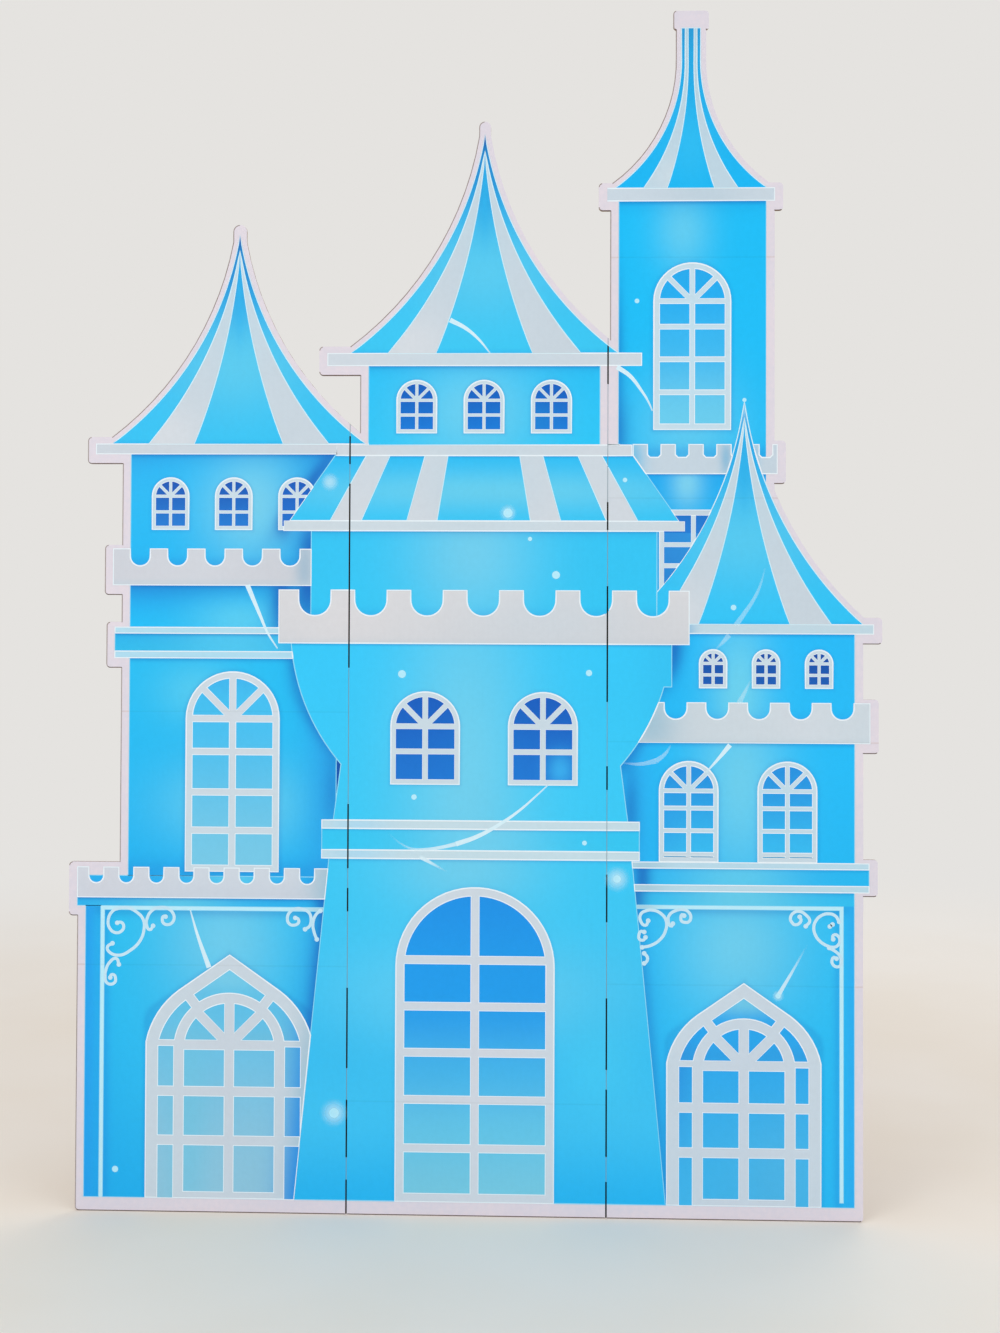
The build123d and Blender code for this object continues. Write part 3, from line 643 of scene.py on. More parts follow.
@dataclass(frozen=True)
class InkFinish:
    """A printed finish: courses of colour, under one coat that follows the board's relief,
    darkened along the creases as painted shade.
    """

    name: str
    courses: tuple[Course, ...]
    mottle_share: float = 0.022
    crease_shade_share: float = 0.07
    relief: Relief = Relief()

    def colour(self, graph: Graph, place: bpy.types.NodeSocket) -> bpy.types.NodeSocket:
        """Build the chain of courses and washes.

        Args:
            graph: the material's graph.
            place: the object coordinates.

        Returns:
            The socket with the print's colour.
        """
        _, _, z = graph.split(place)
        result: Union[Socket, Colour] = self.courses[0].low
        for course in self.courses:
            rise = graph.smooth(z, course.foot * MM, course.top * MM)
            tone = graph.mix(rise, course.low, course.high)
            for wash in course.washes:
                tone = graph.place(
                    EFFECTS.get(Effect.WASH), Under=tone, Colour=wash.colour, Place=place,
                    Centre_X=wash.x * MM, Centre_Z=wash.z * MM, Lean=wash.lean,
                    Reach_X=wash.reach_x * MM, Reach_Z=wash.reach_z * MM,
                    Strength=wash.strength).outputs[0]
            for halo in course.halos:
                effect = Effect.GABLE if halo.gabled else Effect.HALO
                tone = graph.place(
                    EFFECTS.get(effect), Under=tone, Colour=halo.colour, Place=place,
                    Axis=halo.axis * MM, Foot=halo.foot * MM,
                    Peak=(halo.foot + halo.height) * MM, Half_Width=halo.width / 2 * MM,
                    Reach=halo.reach * MM, Strength=halo.strength).outputs[0]
            result = graph.place(EFFECTS.get(Effect.COURSE), Under=result, Course=tone,
                                 Place=place, Foot=course.foot * MM,
                                 Top=course.top * MM).outputs[0]
        return result

    def build(self) -> bpy.types.Material:
        """Build the material.

        Returns:
            The material.
        """
        material, graph, surface = new_material(self.name)
        place = graph.node("ShaderNodeTexCoord").outputs["Object"]
        tone = self.colour(graph, place)
        mottle, crease = paper_surface(graph, surface, place, self.relief)
        light = graph.smooth(mottle, MOTTLE_LOW, MOTTLE_HIGH, 1.0 - self.mottle_share,
                             1.0 + self.mottle_share / 2)
        # Crease lines darken the print's colour as painted shade; the mottle is random tone.
        light = graph.math("MULTIPLY", light, graph.math(
            "MULTIPLY_ADD", crease, -self.crease_shade_share, 1.0))
        toned = graph.node("ShaderNodeHueSaturation")
        graph.feed(toned.inputs["Color"], tone)
        graph.feed(toned.inputs["Value"], light)
        graph.feed(surface.inputs["Base Color"], toned.outputs[0])
        surface.inputs["Specular IOR Level"].default_value = INK_GLOSS
        return material


def top_shade(level: float, reach: float = 6.0, strength: float = 0.6,
              colour: Colour = DEEP) -> Wash:
    """The shade under an edge that juts out over a wall."""
    return Wash(colour, z=level, reach_z=reach, strength=strength)


def keep_shade(x: float, z: float, lean: float, reach_x: float = 15.0,
               reach_z: float = WIDE, strength: float = 0.7) -> Wash:
    """The shade that the keep throws on what stands behind it."""
    return Wash(DEEP, x, z, reach_x, reach_z, strength, lean)


def window_row(axis: float, pitch: float, count: int, foot: float, width: float,
               height: float, reach: float = 4.0, strength: float = 0.17) -> tuple[Halo, ...]:
    """Halos of a row of equal windows.

    Args:
        axis: middle of the row.
        pitch: distance from window to window.
        count: number of windows.
        foot: level of their sills.
        width: width of a window.
        height: its height.
        reach: how far the shade reaches.
        strength: how strong it is.

    Returns:
        One halo for each window.
    """
    first = axis - pitch * (count - 1) / 2
    return tuple(Halo(first + pitch * index, foot, width, height, reach, strength)
                 for index in range(count))


def wall_finishes() -> dict[str, InkFinish]:
    """Finishes of the blue walls, by CAD node.

    Returns:
        A finish for each node.
    """
    return {
        "left_tower_wall": InkFinish("left tower wall print", (
            Course(440, 838, ink(28, 181, 246), ink(34, 191, 247), (
                Wash(ink(84, 205, 244), -420, 786, 60, 46, 0.85),
                Wash(ink(102, 207, 242), -362, 616, 104, 64, 0.95),
                Wash(ink(40, 168, 238), -222, 720, 34, WIDE, 0.8),
                top_shade(838, 5, 0.42),
                keep_shade(-268, 818, -0.21, 14, 44, 0.65),
                keep_shade(-234, 736, -0.6, 17, 48, 0.65),
                keep_shade(-212, 640, 0.0, 16, 60, 0.35),
                Wash(SHADE, z=512, reach_z=20, strength=0.35),
            ), (Halo(-366.5, 514.5, 142, 302.5, 5, 0.22),)),
            Course(848, 875.5, ink(44, 188, 240), ink(40, 180, 238), (
                Wash(ink(76, 199, 243), -366, 860, 90),
                Wash(ink(38, 144, 220), -232, 860, 40),
                top_shade(875.5, 4, 0.5),
            )),
            Course(884.5, 952, ink(26, 190, 250), ink(26, 180, 245), (
                Wash(ink(30, 148, 230), -505, 948, 110, 34, 0.5),
                Wash(ink(90, 207, 245), -352, 896, 76, 36, 0.88),
                top_shade(950, 18, 0.28), top_shade(950, 5, 0.55),
                Wash(ink(44, 170, 234), -270, 900, 40),
                keep_shade(-292, 930, 0.0, 18, 80, 0.75),
                keep_shade(-252, 950, 0.0, 22, 60, 0.8),
            )),
            Course(952, 1149.2, ink(28, 184, 247), ink(38, 190, 248), (
                Wash(ink(118, 208, 239), -338, 1072, 76, 84, 0.95),
                Wash(ink(36, 174, 244), -530, 1150, 120, 60, 0.6),
                Wash(ink(38, 154, 230), -215, 1080, 60, WIDE, 0.85),
                top_shade(1149, 20, 0.15), top_shade(1149, 5, 0.5),
                Wash(SHADE, z=978, reach_z=12, strength=0.35),
                keep_shade(-252, 1100, 0.7, 15, 60, 0.7),
                keep_shade(-290, 1040, 0.0, 13, 22, 0.5),
                keep_shade(-248, 1005, 0.0, 20, 40, 0.75),
            ), window_row(-367, 97, 3, 1033.8, 56, 78.7)),
        )),
        "left_gatehouse_wall": InkFinish("left gatehouse wall print", (
            Course(21, 461, ink(28, 178, 243), ink(40, 194, 247), (
                Wash(ink(114, 207, 240), -376, 405, 88, 104, 0.92),
                Wash(ink(58, 198, 247), -400, 200, 120, 140, 0.6),
                Wash(ink(40, 156, 232), -228, 300, 40, WIDE, 0.75, 0.1),
                keep_shade(-240, 280, 0.1, 15, WIDE, 0.6),
                top_shade(455, 10, 0.3),
                Wash(ink(34, 164, 242), -592, 240, 25),
                Wash(SHADE, -560, 300, 9, WIDE, 0.3),
            ), (Halo(-368.5, 21, 253.5, 367, 5, 0.22, DEEP, True),)),
            Course(461, 474, ink(38, 180, 242), ink(38, 176, 240), (
                Wash(ink(90, 201, 238), -450, 468, 90),
                top_shade(474, 4, 0.5),
                keep_shade(-226, 468, 0.1, 16),
            )),
            Course(474, 515, ink(38, 164, 238), ink(38, 180, 245), (
                Wash(ink(84, 202, 243), -366, 490, 60),
                keep_shade(-222, 490, 0.1, 20),
            )),
        )),
        "tall_tower_wall": InkFinish("tall tower wall print", (
            Course(880, 1060, ink(58, 184, 245), ink(50, 172, 240), (
                Wash(ink(108, 206, 244), 345, 990, 52, 90, 0.9),
                Wash(ink(38, 152, 220), 445, 980, 30, WIDE, 0.8),
                top_shade(1056, 20, 0.2), top_shade(1056, 6, 0.55),
                keep_shade(300, 1000, 0.0, 16, 60, 0.7),
                keep_shade(262, 1090, -0.7, 20, 80, 0.75),
            )),
            Course(1060, 1122, ink(34, 180, 246), ink(30, 172, 244), (
                Wash(ink(124, 210, 242), 322, 1104, 24, 34, 0.95),
                top_shade(1120, 4, 0.42),
                keep_shade(250, 1090, -0.7, 20, 80, 0.6),
            )),
            Course(1122, 1534.5, ink(22, 190, 250), ink(22, 192, 252), (
                Wash(ink(98, 206, 244), 316, 1490, 40, 60, 0.9),
                Wash(ink(98, 206, 244), 322, 1185, 80, 84, 0.8),
                top_shade(1534, 20, 0.12), top_shade(1534, 5, 0.5),
                Wash(SHADE, z=1150, reach_z=12, strength=0.35),
                keep_shade(214, 1300, 0.0, 12, 110, 0.6),
                keep_shade(214, 1180, 0.0, 20, 60, 0.6),
            ), (Halo(329.75, 1186.8, 116, 252.8, 5, 0.2),)),
        )),
        "right_turret_wall": InkFinish("right turret wall print", (
            Course(525, 716, ink(32, 188, 250), ink(32, 190, 252), (
                Wash(ink(110, 210, 242), 403, 655, 64, 140, 0.92),
                Wash(ink(40, 178, 246), 248, 620, 30, WIDE, 0.75),
                top_shade(714, 5, 0.35),
                keep_shade(236, 700, 0.6, 16, 50, 0.55),
                keep_shade(238, 610, 0.0, 14, 70, 0.5),
            ), window_row(399.5, 148, 2, 535, 88, 150.5, 5, 0.18)),
            Course(716, 878.5, ink(34, 190, 252), ink(34, 188, 252), (
                Wash(ink(110, 212, 242), 401, 790, 44, 110, 0.92),
                top_shade(878, 4, 0.4),
                Wash(SHADE, z=744, reach_z=12, strength=0.35),
                keep_shade(272, 790, 0.6, 16, 46, 0.7),
                keep_shade(303, 862, 0.1, 15, 50, 0.75),
            ), window_row(441.4, 79.5, 3, 796.6, 41, 57.4)),
        )),
        "right_gatehouse_wall": InkFinish("right gatehouse wall print", (
            Course(21, 470, ink(38, 188, 248), ink(40, 194, 250), (
                Wash(ink(112, 209, 242), 398, 408, 92, 100, 0.92),
                Wash(ink(44, 186, 249), 258, 300, 36, WIDE, 0.7, -0.1),
                keep_shade(265, 280, -0.1, 12, WIDE, 0.36),
                top_shade(464, 9, 0.3),
                Wash(ink(40, 176, 246), 574, 240, 17, WIDE, 0.9),
                Wash(SHADE, 549, 300, 7, WIDE, 0.28),
            ), (Halo(408.5, 21, 230.4, 332, 5, 0.2, DEEP, True),)),
            Course(470, 490.5, ink(46, 194, 247), ink(44, 188, 244), (
                top_shade(490.5, 4, 0.3), keep_shade(248, 480, 0.0, 16),
                Wash(ink(102, 206, 240), 402, 480, 90),
            )),
            Course(490.5, 534, ink(38, 186, 248), ink(36, 184, 247), (
                Wash(ink(92, 204, 243), 400, 512, 90),
                Wash(ink(36, 188, 247), 590, 512, 60),
                top_shade(525, 4, 0.25), keep_shade(256, 512, 0.0, 14),
            )),
        )),
        "keep_base": InkFinish("keep base print", (
            Course(21, 538, ink(32, 184, 246), ink(58, 203, 250), (
                Wash(ink(72, 203, 248), 4, 150, WIDE, 90, 0.6),
                Wash(ink(100, 209, 247), 4, 335, 215, 84, 0.9),
                Wash(ink(112, 209, 242), -12, 522, 112, 66, 0.92),
                Wash(ink(72, 210, 252), 190, 230, 60, 70, 0.55),
                top_shade(536, 4, 0.3),
            ), (Halo(4, 21, 239, 472, 5, 0.15, ink(30, 140, 215)),)),
            Course(538, 590, ink(52, 202, 248), ink(50, 200, 247), (
                Wash(ink(110, 209, 243), 10, 565, 104),
                top_shade(581, 3, 0.3),
            )),
        )),
        "keep_wall": InkFinish("keep wall print", (
            Course(590, 862, ink(57, 204, 251), ink(52, 202, 253), (
                Wash(ink(112, 209, 241), -12, 650, 96, 330, 0.95),
                Wash(ink(50, 192, 244), 292, 740, 34, WIDE, 0.5),
                top_shade(861, 3, 0.4),
            ), window_row(16.3, 178.4, 2, 648.6, 104, 139.5)),
            Course(862, 1033, ink(50, 201, 250), ink(50, 198, 248), (
                Wash(ink(114, 208, 241), -2, 1000, 94, 110, 0.92),
                top_shade(1033, 10, 0.15), top_shade(1033, 3, 0.5),
                Wash(SHADE, z=904, reach_z=10, strength=0.22),
            )),
        )),
        "crown_wall": InkFinish("crown wall print", (
            Course(1160, 1285, ink(40, 198, 250), ink(36, 194, 250), (
                Wash(ink(106, 208, 243), -2, 1215, 96, 80, 0.92),
                top_shade(1284, 12, 0.15), top_shade(1284, 4, 0.45),
            ), window_row(14.5, 102.4, 3, 1181.5, 60.5, 79.9)),
        )),
        "waist_shadow": InkFinish("waist shade print", (
            Course(580, 780, ink(12, 66, 150), ink(16, 80, 170), (
                Wash(ink(24, 100, 196), -212, 690, 12, WIDE, 0.6),
            )),
        )),
    }


def roof_finishes() -> dict[str, InkFinish]:
    """Finishes of the roofs' blue and pale stripes, by CAD node.

    Returns:
        A finish for each node.
    """
    night = ink(14, 66, 158)
    pale = ink(199, 213, 224)
    beyond = 1.0
    glow_rise = 0.38
    finishes: dict[str, InkFinish] = {}
    for name, axis, foot, height, low, glow, dark_tip in (
            ("left", -360, 1164.3, 320.2, ink(50, 195, 246), ink(92, 205, 241), True),
            ("crown", 14.5, 1302.6, 334.5, ink(56, 200, 247), ink(90, 205, 243), True),
            ("right", 408.5, 892.5, 338.0, ink(46, 197, 250), ink(88, 205, 244), False)):
        tip = foot + height
        finishes[name + "_roof_blue"] = InkFinish(name + " roof blue print", (
            Course(foot - beyond, tip + beyond, low, ink(38, 172, 238), (
                Wash(glow, axis, foot + height * glow_rise, 110, 74, 0.85),
                Wash(ink(22, 92, 180), axis, tip, WIDE, 84, 0.85 if dark_tip else 0.1),
                Wash(ink(44, 180, 240), axis, tip - 80, 7, 66, 0.85),
                Wash(night if dark_tip else ink(200, 232, 246), axis, tip + 8, WIDE, 27, 0.95),
                Wash(ink(36, 168, 236), z=foot, reach_z=5, strength=0.4),
            )),))
        finishes[name + "_roof_pale"] = InkFinish(name + " roof pale print", (
            Course(foot - beyond, tip + beyond, pale, ink(196, 216, 230), (
                Wash(ink(190, 216, 230), axis, foot + height / 2, 40, 60, 0.6),
                Wash(ink(216, 222, 229), axis - 110, foot + 10, 60, 50, 0.7),
            )),))
    finishes["hip_roof_blue"] = InkFinish("hip roof blue print", (
        Course(1047, 1148, ink(46, 197, 249), ink(38, 190, 248), (
            Wash(ink(104, 208, 241), 30, 1093, 330, 32, 0.9),
            top_shade(1147, 3, 0.4),
        )),))
    finishes["hip_roof_pale"] = InkFinish("hip roof pale print", (
        Course(1047, 1148, ink(208, 217, 226), ink(204, 216, 226), (
            Wash(ink(190, 214, 228), 14, 1100, 90, 60, 0.6),
        )),))
    finishes["spire_roof_blue"] = InkFinish("spire blue print", (
        Course(1553, 1800, ink(18, 184, 248), ink(34, 168, 230), (
            Wash(ink(46, 192, 247), 327, 1620, 40, 60, 0.7),
            Wash(ink(40, 142, 205), z=1798, reach_z=26, strength=0.5),
        )),))
    finishes["spire_roof_pale"] = InkFinish("spire pale print", (
        Course(1553, 1800, ink(190, 215, 230), ink(182, 211, 229), (
            Wash(ink(206, 222, 232), 300, 1570, 30, 30, 0.7),
        )),))
    return finishes


def trim_finishes() -> dict[str, InkFinish]:
    """Finishes of the pale battlements, bands, eaves and frames, by CAD node.

    Returns:
        A finish for each node.
    """
    cool = ink(154, 193, 214)
    line_blue = ink(188, 238, 254)
    return {
        "left_tower_trim": InkFinish("left tower trim print", (
            Course(830, 891, ink(174, 221, 242), ink(180, 222, 240), (
                Wash(ink(160, 208, 234), -240, 860, 40, 60, 0.7),
            )),
            Course(891, 1170, ink(205, 209, 218), ink(203, 213, 223), (
                Wash(cool, -186, 975, 48, 60, 0.95),
                Wash(ink(158, 188, 210), -258, 975, 14, 60, 0.8),
                Wash(ink(211, 217, 226), -430, 975, 80, 60, 0.6),
                Wash(ink(198, 217, 229), -360, 1157, 90, 20, 0.5),
                Wash(ink(190, 209, 222), z=952, reach_z=5, strength=0.4),
            )),)),
        "left_gatehouse_trim": InkFinish("left gatehouse trim print", (
            Course(20, 462, ink(190, 236, 252), line_blue, (
                Wash(cool, -225, 458, 30, 40, 0.6),
            )),
            Course(462, 521, ink(201, 211, 224), ink(206, 216, 227), (
                Wash(cool, -212, 495, 34, 60, 0.9),
                Wash(ink(211, 214, 224), -560, 495, 70, 60, 0.6),
            )),)),
        "keep_trim": InkFinish("keep trim print", (
            Course(530, 600, ink(198, 223, 234), ink(198, 222, 233), (
                Wash(ink(164, 217, 245), -176, 565, 50, 60, 0.75),
            )),
            Course(850, 950, ink(209, 213, 219), ink(215, 218, 223), (
                Wash(ink(220, 220, 224), -200, 900, 110, 60, 0.6),
                Wash(ink(200, 215, 226), 120, 900, 130, 60, 0.5),
                Wash(ink(192, 204, 216), z=861, reach_z=6, strength=0.4),
            )),)),
        "crown_trim": InkFinish("crown trim print", (
            Course(1020, 1310, ink(209, 216, 224), ink(206, 217, 227), (
                Wash(ink(192, 217, 230), 14, 1160, 130, WIDE, 0.5),
                Wash(ink(202, 219, 229), 0, 1042, WIDE, 14, 0.7),
            )),)),
        "tall_tower_trim": InkFinish("tall tower trim print", (
            Course(1040, 1560, ink(196, 213, 226), ink(200, 215, 227), (
                Wash(ink(100, 190, 232), 238, 1142, 20, 40, 0.9),
                Wash(ink(112, 180, 218), 381, 1144, 9, 30, 0.7),
                Wash(ink(112, 192, 233), 420, 1144, 10, 30, 0.8),
                Wash(ink(186, 209, 224), 350, 1545, 60, 30, 0.6),
            )),)),
        "right_turret_trim": InkFinish("right turret trim print", (
            Course(700, 900, ink(204, 217, 226), ink(207, 219, 228), (
                Wash(cool, 268, 745, 40, 60, 0.8),
                Wash(ink(210, 219, 228), 500, 745, 60, 60, 0.6),
                Wash(ink(188, 217, 231), z=884, reach_z=22, strength=0.8),
                Wash(ink(130, 184, 222), 322, 884, 14, 24, 0.75),
                Wash(ink(190, 207, 219), z=714, reach_z=5, strength=0.4),
            )),)),
        "right_gatehouse_trim": InkFinish("right gatehouse trim print", (
            Course(20, 480, ink(190, 236, 252), line_blue, (
                Wash(cool, 255, 466, 24, 40, 0.6),
            )),
            Course(480, 540, ink(186, 220, 235), ink(186, 220, 237), (
                Wash(cool, 260, 512, 30, 40, 0.6),
            )),)),
        "window_frames": InkFinish("window frame print", (
            Course(20, 1450, ink(202, 218, 229), ink(201, 221, 233), (
                Wash(ink(213, 219, 229), 4, 250, 140, 280, 0.92),
                Wash(ink(204, 214, 225), -368, 190, 110, 220, 0.92),
                Wash(ink(203, 216, 229), 408, 180, 110, 220, 0.92),
                Wash(ink(209, 218, 228), -366, 750, 90, 120, 0.75),
                Wash(ink(190, 224, 242), 330, 1300, 60, 160, 0.75),
                Wash(ink(186, 222, 240), 400, 620, 150, 60, 0.75),
                Wash(cool, -250, 200, 22, 180, 0.7, 0.1),
            )),)),
    }


def pane_finishes() -> dict[str, InkFinish]:
    """Finishes of the window panes, by CAD node.

    Returns:
        A finish for each node.
    """
    return {
        "dark_panes": InkFinish("dark pane print", (
            Course(640, 795, ink(26, 120, 214), ink(18, 94, 194), (
                Wash(ink(58, 180, 245), 132, 672, 20, 26, 0.85),
                Wash(ink(26, 128, 216), 20, 700, 60, 60, 0.4),
            )),
            Course(795, 860, ink(24, 94, 184), ink(18, 78, 166), ()),
            Course(860, 1030, ink(34, 122, 202), ink(43, 142, 222), (
                Wash(ink(46, 152, 226), 345, 1010, 30, 30, 0.7),
            )),
            Course(1030, 1120, ink(32, 124, 214), ink(18, 84, 180), (
                Wash(ink(24, 104, 204), -270, 1060, 40, 60, 0.6),
            )),
            Course(1120, 1270, ink(22, 140, 236), ink(12, 94, 192), (
                Wash(ink(30, 138, 220), 90, 1200, 40, 30, 0.6),
            )),
        ), relief=PANE_RELIEF),
        "mid_panes": InkFinish("mid pane print", (
            Course(20, 360, ink(64, 185, 240), ink(32, 166, 243), (
                Wash(ink(80, 184, 234), 460, 60, 60, 90, 0.6),
                Wash(ink(40, 140, 222), 300, 250, 30, 120, 0.7),
                Wash(ink(48, 150, 222), z=245, reach_z=16, strength=0.4),
                Wash(ink(114, 204, 236), 408.5, 324, 70, 20, 0.92),
            )),
            Course(530, 690, ink(54, 190, 246), ink(34, 146, 228), (
                Wash(ink(38, 160, 236), 290, 600, 30, 60, 0.5),
            )),
            Course(1180, 1400, ink(106, 206, 241), ink(32, 174, 244), (
                Wash(ink(44, 185, 246), z=1316, reach_z=46, strength=0.5),
            )),
            Course(1400, 1445, ink(32, 174, 244), ink(38, 168, 238), ()),
        ), relief=PANE_RELIEF),
        "pale_panes": InkFinish("pale pane print", (
            Course(20, 380, ink(144, 201, 226), ink(88, 194, 237), (
                Wash(ink(110, 200, 230), -430, 120, 30, 200, 0.6),
                Wash(ink(112, 194, 226), z=262, reach_z=14, strength=0.5),
                Wash(ink(38, 146, 230), -254, 130, 32, WIDE, 0.95, 0.1),
                Wash(ink(120, 207, 238), -368, 354, 80, 24, 0.92),
            )),
            Course(510, 770, ink(118, 202, 234), ink(66, 192, 244), (
                Wash(ink(86, 192, 236), z=746, reach_z=8, strength=0.3),
            )),
            Course(770, 820, ink(66, 192, 244), ink(60, 180, 240), ()),
        ), relief=PANE_RELIEF),
        "door_panes": InkFinish("door pane print", (
            Course(20, 340, ink(120, 205, 231), ink(30, 159, 241), (
                Wash(ink(60, 193, 243), 4, 210, WIDE, 60, 0.45),
                Wash(ink(98, 207, 239), 4, 125, WIDE, 50, 0.5),
            )),
            Course(340, 495, ink(30, 159, 241), ink(27, 148, 236), ()),
        ), relief=PANE_RELIEF),
    }


@dataclass(frozen=True)
class BoardFinish:
    """White-coated corrugated board with kraft inside and behind, with painted shade in its flute
    hollows, slits and creases.

    Depths are in millimetres, and scales are features in a metre.
    """

    name: str = "coated corrugated board"
    coat: Colour = ink(227, 219, 228)
    coat_cool: Colour = ink(217, 214, 226)
    kraft: Colour = ink(176, 136, 94)
    kraft_dark: Colour = ink(136, 98, 62)
    # Painted shade: near-black brown in the hollows between the flutes on the cut edges.
    flute_hollow_shade: Colour = ink(70, 46, 28)
    # Painted shade: near black on the floors of the fold slits.
    slit_floor_shade: Colour = ink(34, 34, 30)
    groove: Colour = ink(150, 176, 190)
    relief: Relief = Relief(0.000014, 0.000003, 0.0006, 0.00008, 0.42, 0.58)
    liner: float = 0.45
    proud_depth: float = 0.2
    groove_depth: float = 1.0
    cloud_low: float = 0.3
    cloud_high: float = 0.7
    # Painted shade: share of kraft brown laid along the crease lines.
    crease_kraft_shade: float = 0.25
    fibre_scale: float = 260.0
    fibre_detail: float = 5.0
    fibre_roughness: float = 0.65
    speck_low: float = 0.34
    speck_high: float = 0.66
    speck_share: float = 0.35
    blotch_scale: float = 14.0
    blotch_low: float = 0.4
    blotch_share: float = 0.35
    streak_share: float = 0.16
    gloss: float = 0.18

    def build(self) -> bpy.types.Material:
        """Build the material.

        Returns:
            The material.
        """
        material, graph, surface = new_material(self.name)
        coordinates = graph.node("ShaderNodeTexCoord")
        place = coordinates.outputs["Object"]
        normal = coordinates.outputs["Normal"]
        _, facing, _ = graph.split(normal)
        _, y, _ = graph.split(place)
        mottle, crease = paper_surface(graph, surface, place, self.relief)
        coat = graph.mix(graph.smooth(mottle, self.cloud_low, self.cloud_high), self.coat_cool,
                         self.coat)
        # Painted shade along the creases, in kraft brown.
        coat = graph.mix(graph.math("MULTIPLY", crease, self.crease_kraft_shade), coat, self.kraft)
        fibre = graph.noise(place, self.fibre_scale, self.fibre_detail, self.fibre_roughness)
        blotch = graph.noise(place, self.blotch_scale)
        speck = graph.smooth(fibre, self.speck_low, self.speck_high)
        back = graph.mix(speck, self.kraft_dark, self.kraft)
        back = graph.mix(graph.math("MULTIPLY", graph.smooth(
            blotch, self.blotch_low, self.cloud_high), self.blotch_share), back, self.kraft_dark)
        streaks = graph.place(EFFECTS.get(Effect.PAPER), Place=place,
                              Flute_Pitch=FLUTE_PITCH * MM, Flute_Height=0.0,
                              Grain_Height=0.0, Wave_Height=0.0)
        back = graph.mix(graph.math("MULTIPLY", streaks.outputs["Streak"], self.streak_share),
                         back, self.kraft_dark)
        edge = graph.place(EFFECTS.get(Effect.FLUTES), Place=place, Normal=normal,
                           Front=BOARD_FRONT, Back=BOARD_BACK, Flute_Pitch=FLUTE_PITCH * MM,
                           Liner=self.liner * MM)
        # The cut edge is kraft card with painted shade in the hollows between the flutes.
        cut = graph.mix(edge.outputs["Card"], self.flute_hollow_shade, self.kraft)
        cut = graph.mix(graph.math("MULTIPLY", speck, self.speck_share), cut, self.kraft_dark)
        coated = graph.math("LESS_THAN", facing, FACES_FRONT)
        behind = graph.math("GREATER_THAN", facing, FACES_BACK)
        proud = graph.math("LESS_THAN", y, BOARD_FRONT + self.proud_depth * MM)
        inside = graph.math("GREATER_THAN", y, BOARD_FRONT + self.groove_depth * MM)
        tone = graph.mix(behind, cut, back)
        # Front faces deep in the fold slits are painted near black as shade.
        front = graph.mix(proud, self.slit_floor_shade, coat)
        front = graph.mix(graph.math("MULTIPLY", graph.math("SUBTRACT", 1.0, proud),
                                     graph.math("SUBTRACT", 1.0, inside)),
                          front, self.groove)
        tone = graph.mix(coated, tone, front)
        graph.feed(surface.inputs["Base Color"], tone)
        surface.inputs["Specular IOR Level"].default_value = self.gloss
        return material


@dataclass(frozen=True)
class EaselFinish:
    """Plain brown corrugated card of the easel. Scales are features in a metre."""

    name: str = "brown easel card"
    kraft: Colour = ink(186, 148, 106)
    kraft_dark: Colour = ink(148, 110, 74)
    fleck: Colour = ink(112, 80, 52)
    relief: Relief = Relief(0.00001, 0.000005, 0.0004, 0.0, 0.6, 0.78)
    fibre_scale: float = 300.0
    fibre_detail: float = 5.0
    fibre_roughness: float = 0.7
    cloud_low: float = 0.4
    cloud_high: float = 0.7
    cloud_share: float = 0.3
    fleck_scale: float = 700.0
    fleck_low: float = 0.68
    fleck_high: float = 0.76
    gloss: float = 0.2

    def build(self) -> bpy.types.Material:
        """Build the material.

        Returns:
            The material.
        """
        material, graph, surface = new_material(self.name)
        place = graph.node("ShaderNodeTexCoord").outputs["Object"]
        mottle, _ = paper_surface(graph, surface, place, self.relief)
        fibre = graph.noise(place, self.fibre_scale, self.fibre_detail, self.fibre_roughness)
        tone = graph.mix(graph.smooth(fibre, MOTTLE_LOW, MOTTLE_HIGH), self.kraft_dark,
                         self.kraft)
        tone = graph.mix(graph.math("MULTIPLY", graph.smooth(
            mottle, self.cloud_low, self.cloud_high), self.cloud_share), tone, self.kraft_dark)
        flecks = graph.noise(place, self.fleck_scale, 2.0)
        tone = graph.mix(graph.smooth(flecks, self.fleck_low, self.fleck_high, 0.0, 0.5), tone,
                         self.fleck)
        graph.feed(surface.inputs["Base Color"], tone)
        surface.inputs["Specular IOR Level"].default_value = self.gloss
        return material


@dataclass(frozen=True)
class LineFinish:
    """Pale ink of rims, scrolls and sparkles, which may fade along its stroke."""

    name: str
    colour: Colour
    second: Colour
    fade_low: float = 0.0
    fade_high: float = 0.0
    strength: float = 1.0
    relief: Relief = Relief(crease=0.00006)

    def build(self) -> bpy.types.Material:
        """Build the material.

        Returns:
            The material.
        """
        material, graph, surface = new_material(self.name)
        place = graph.node("ShaderNodeTexCoord").outputs["Object"]
        mottle, _ = paper_surface(graph, surface, place, self.relief)
        tone = graph.mix(graph.smooth(mottle, MOTTLE_LOW, MOTTLE_HIGH), self.colour, self.second)
        graph.feed(surface.inputs["Base Color"], tone)
        surface.inputs["Specular IOR Level"].default_value = INK_GLOSS
        if self.fade_high > self.fade_low:
            fade = graph.node("ShaderNodeAttribute", attribute_name=FADE)
            cover = graph.smooth(fade.outputs["Fac"], self.fade_low, self.fade_high,
                                 self.strength, 0.0)
            graph.feed(surface.inputs["Alpha"], cover)
        return material


UPRIGHT = (math.pi / 2, 0.0, 0.0)
TOWARDS_VIEWER = (0.0, -1.0, 0.0)
DOT_CORNERS = 20
SPARKLE_CORNERS = 32
CURVE_RESOLUTION = 10
OUTER_EDGE_FACES = 1.0
COUNT_SLACK = 0.1


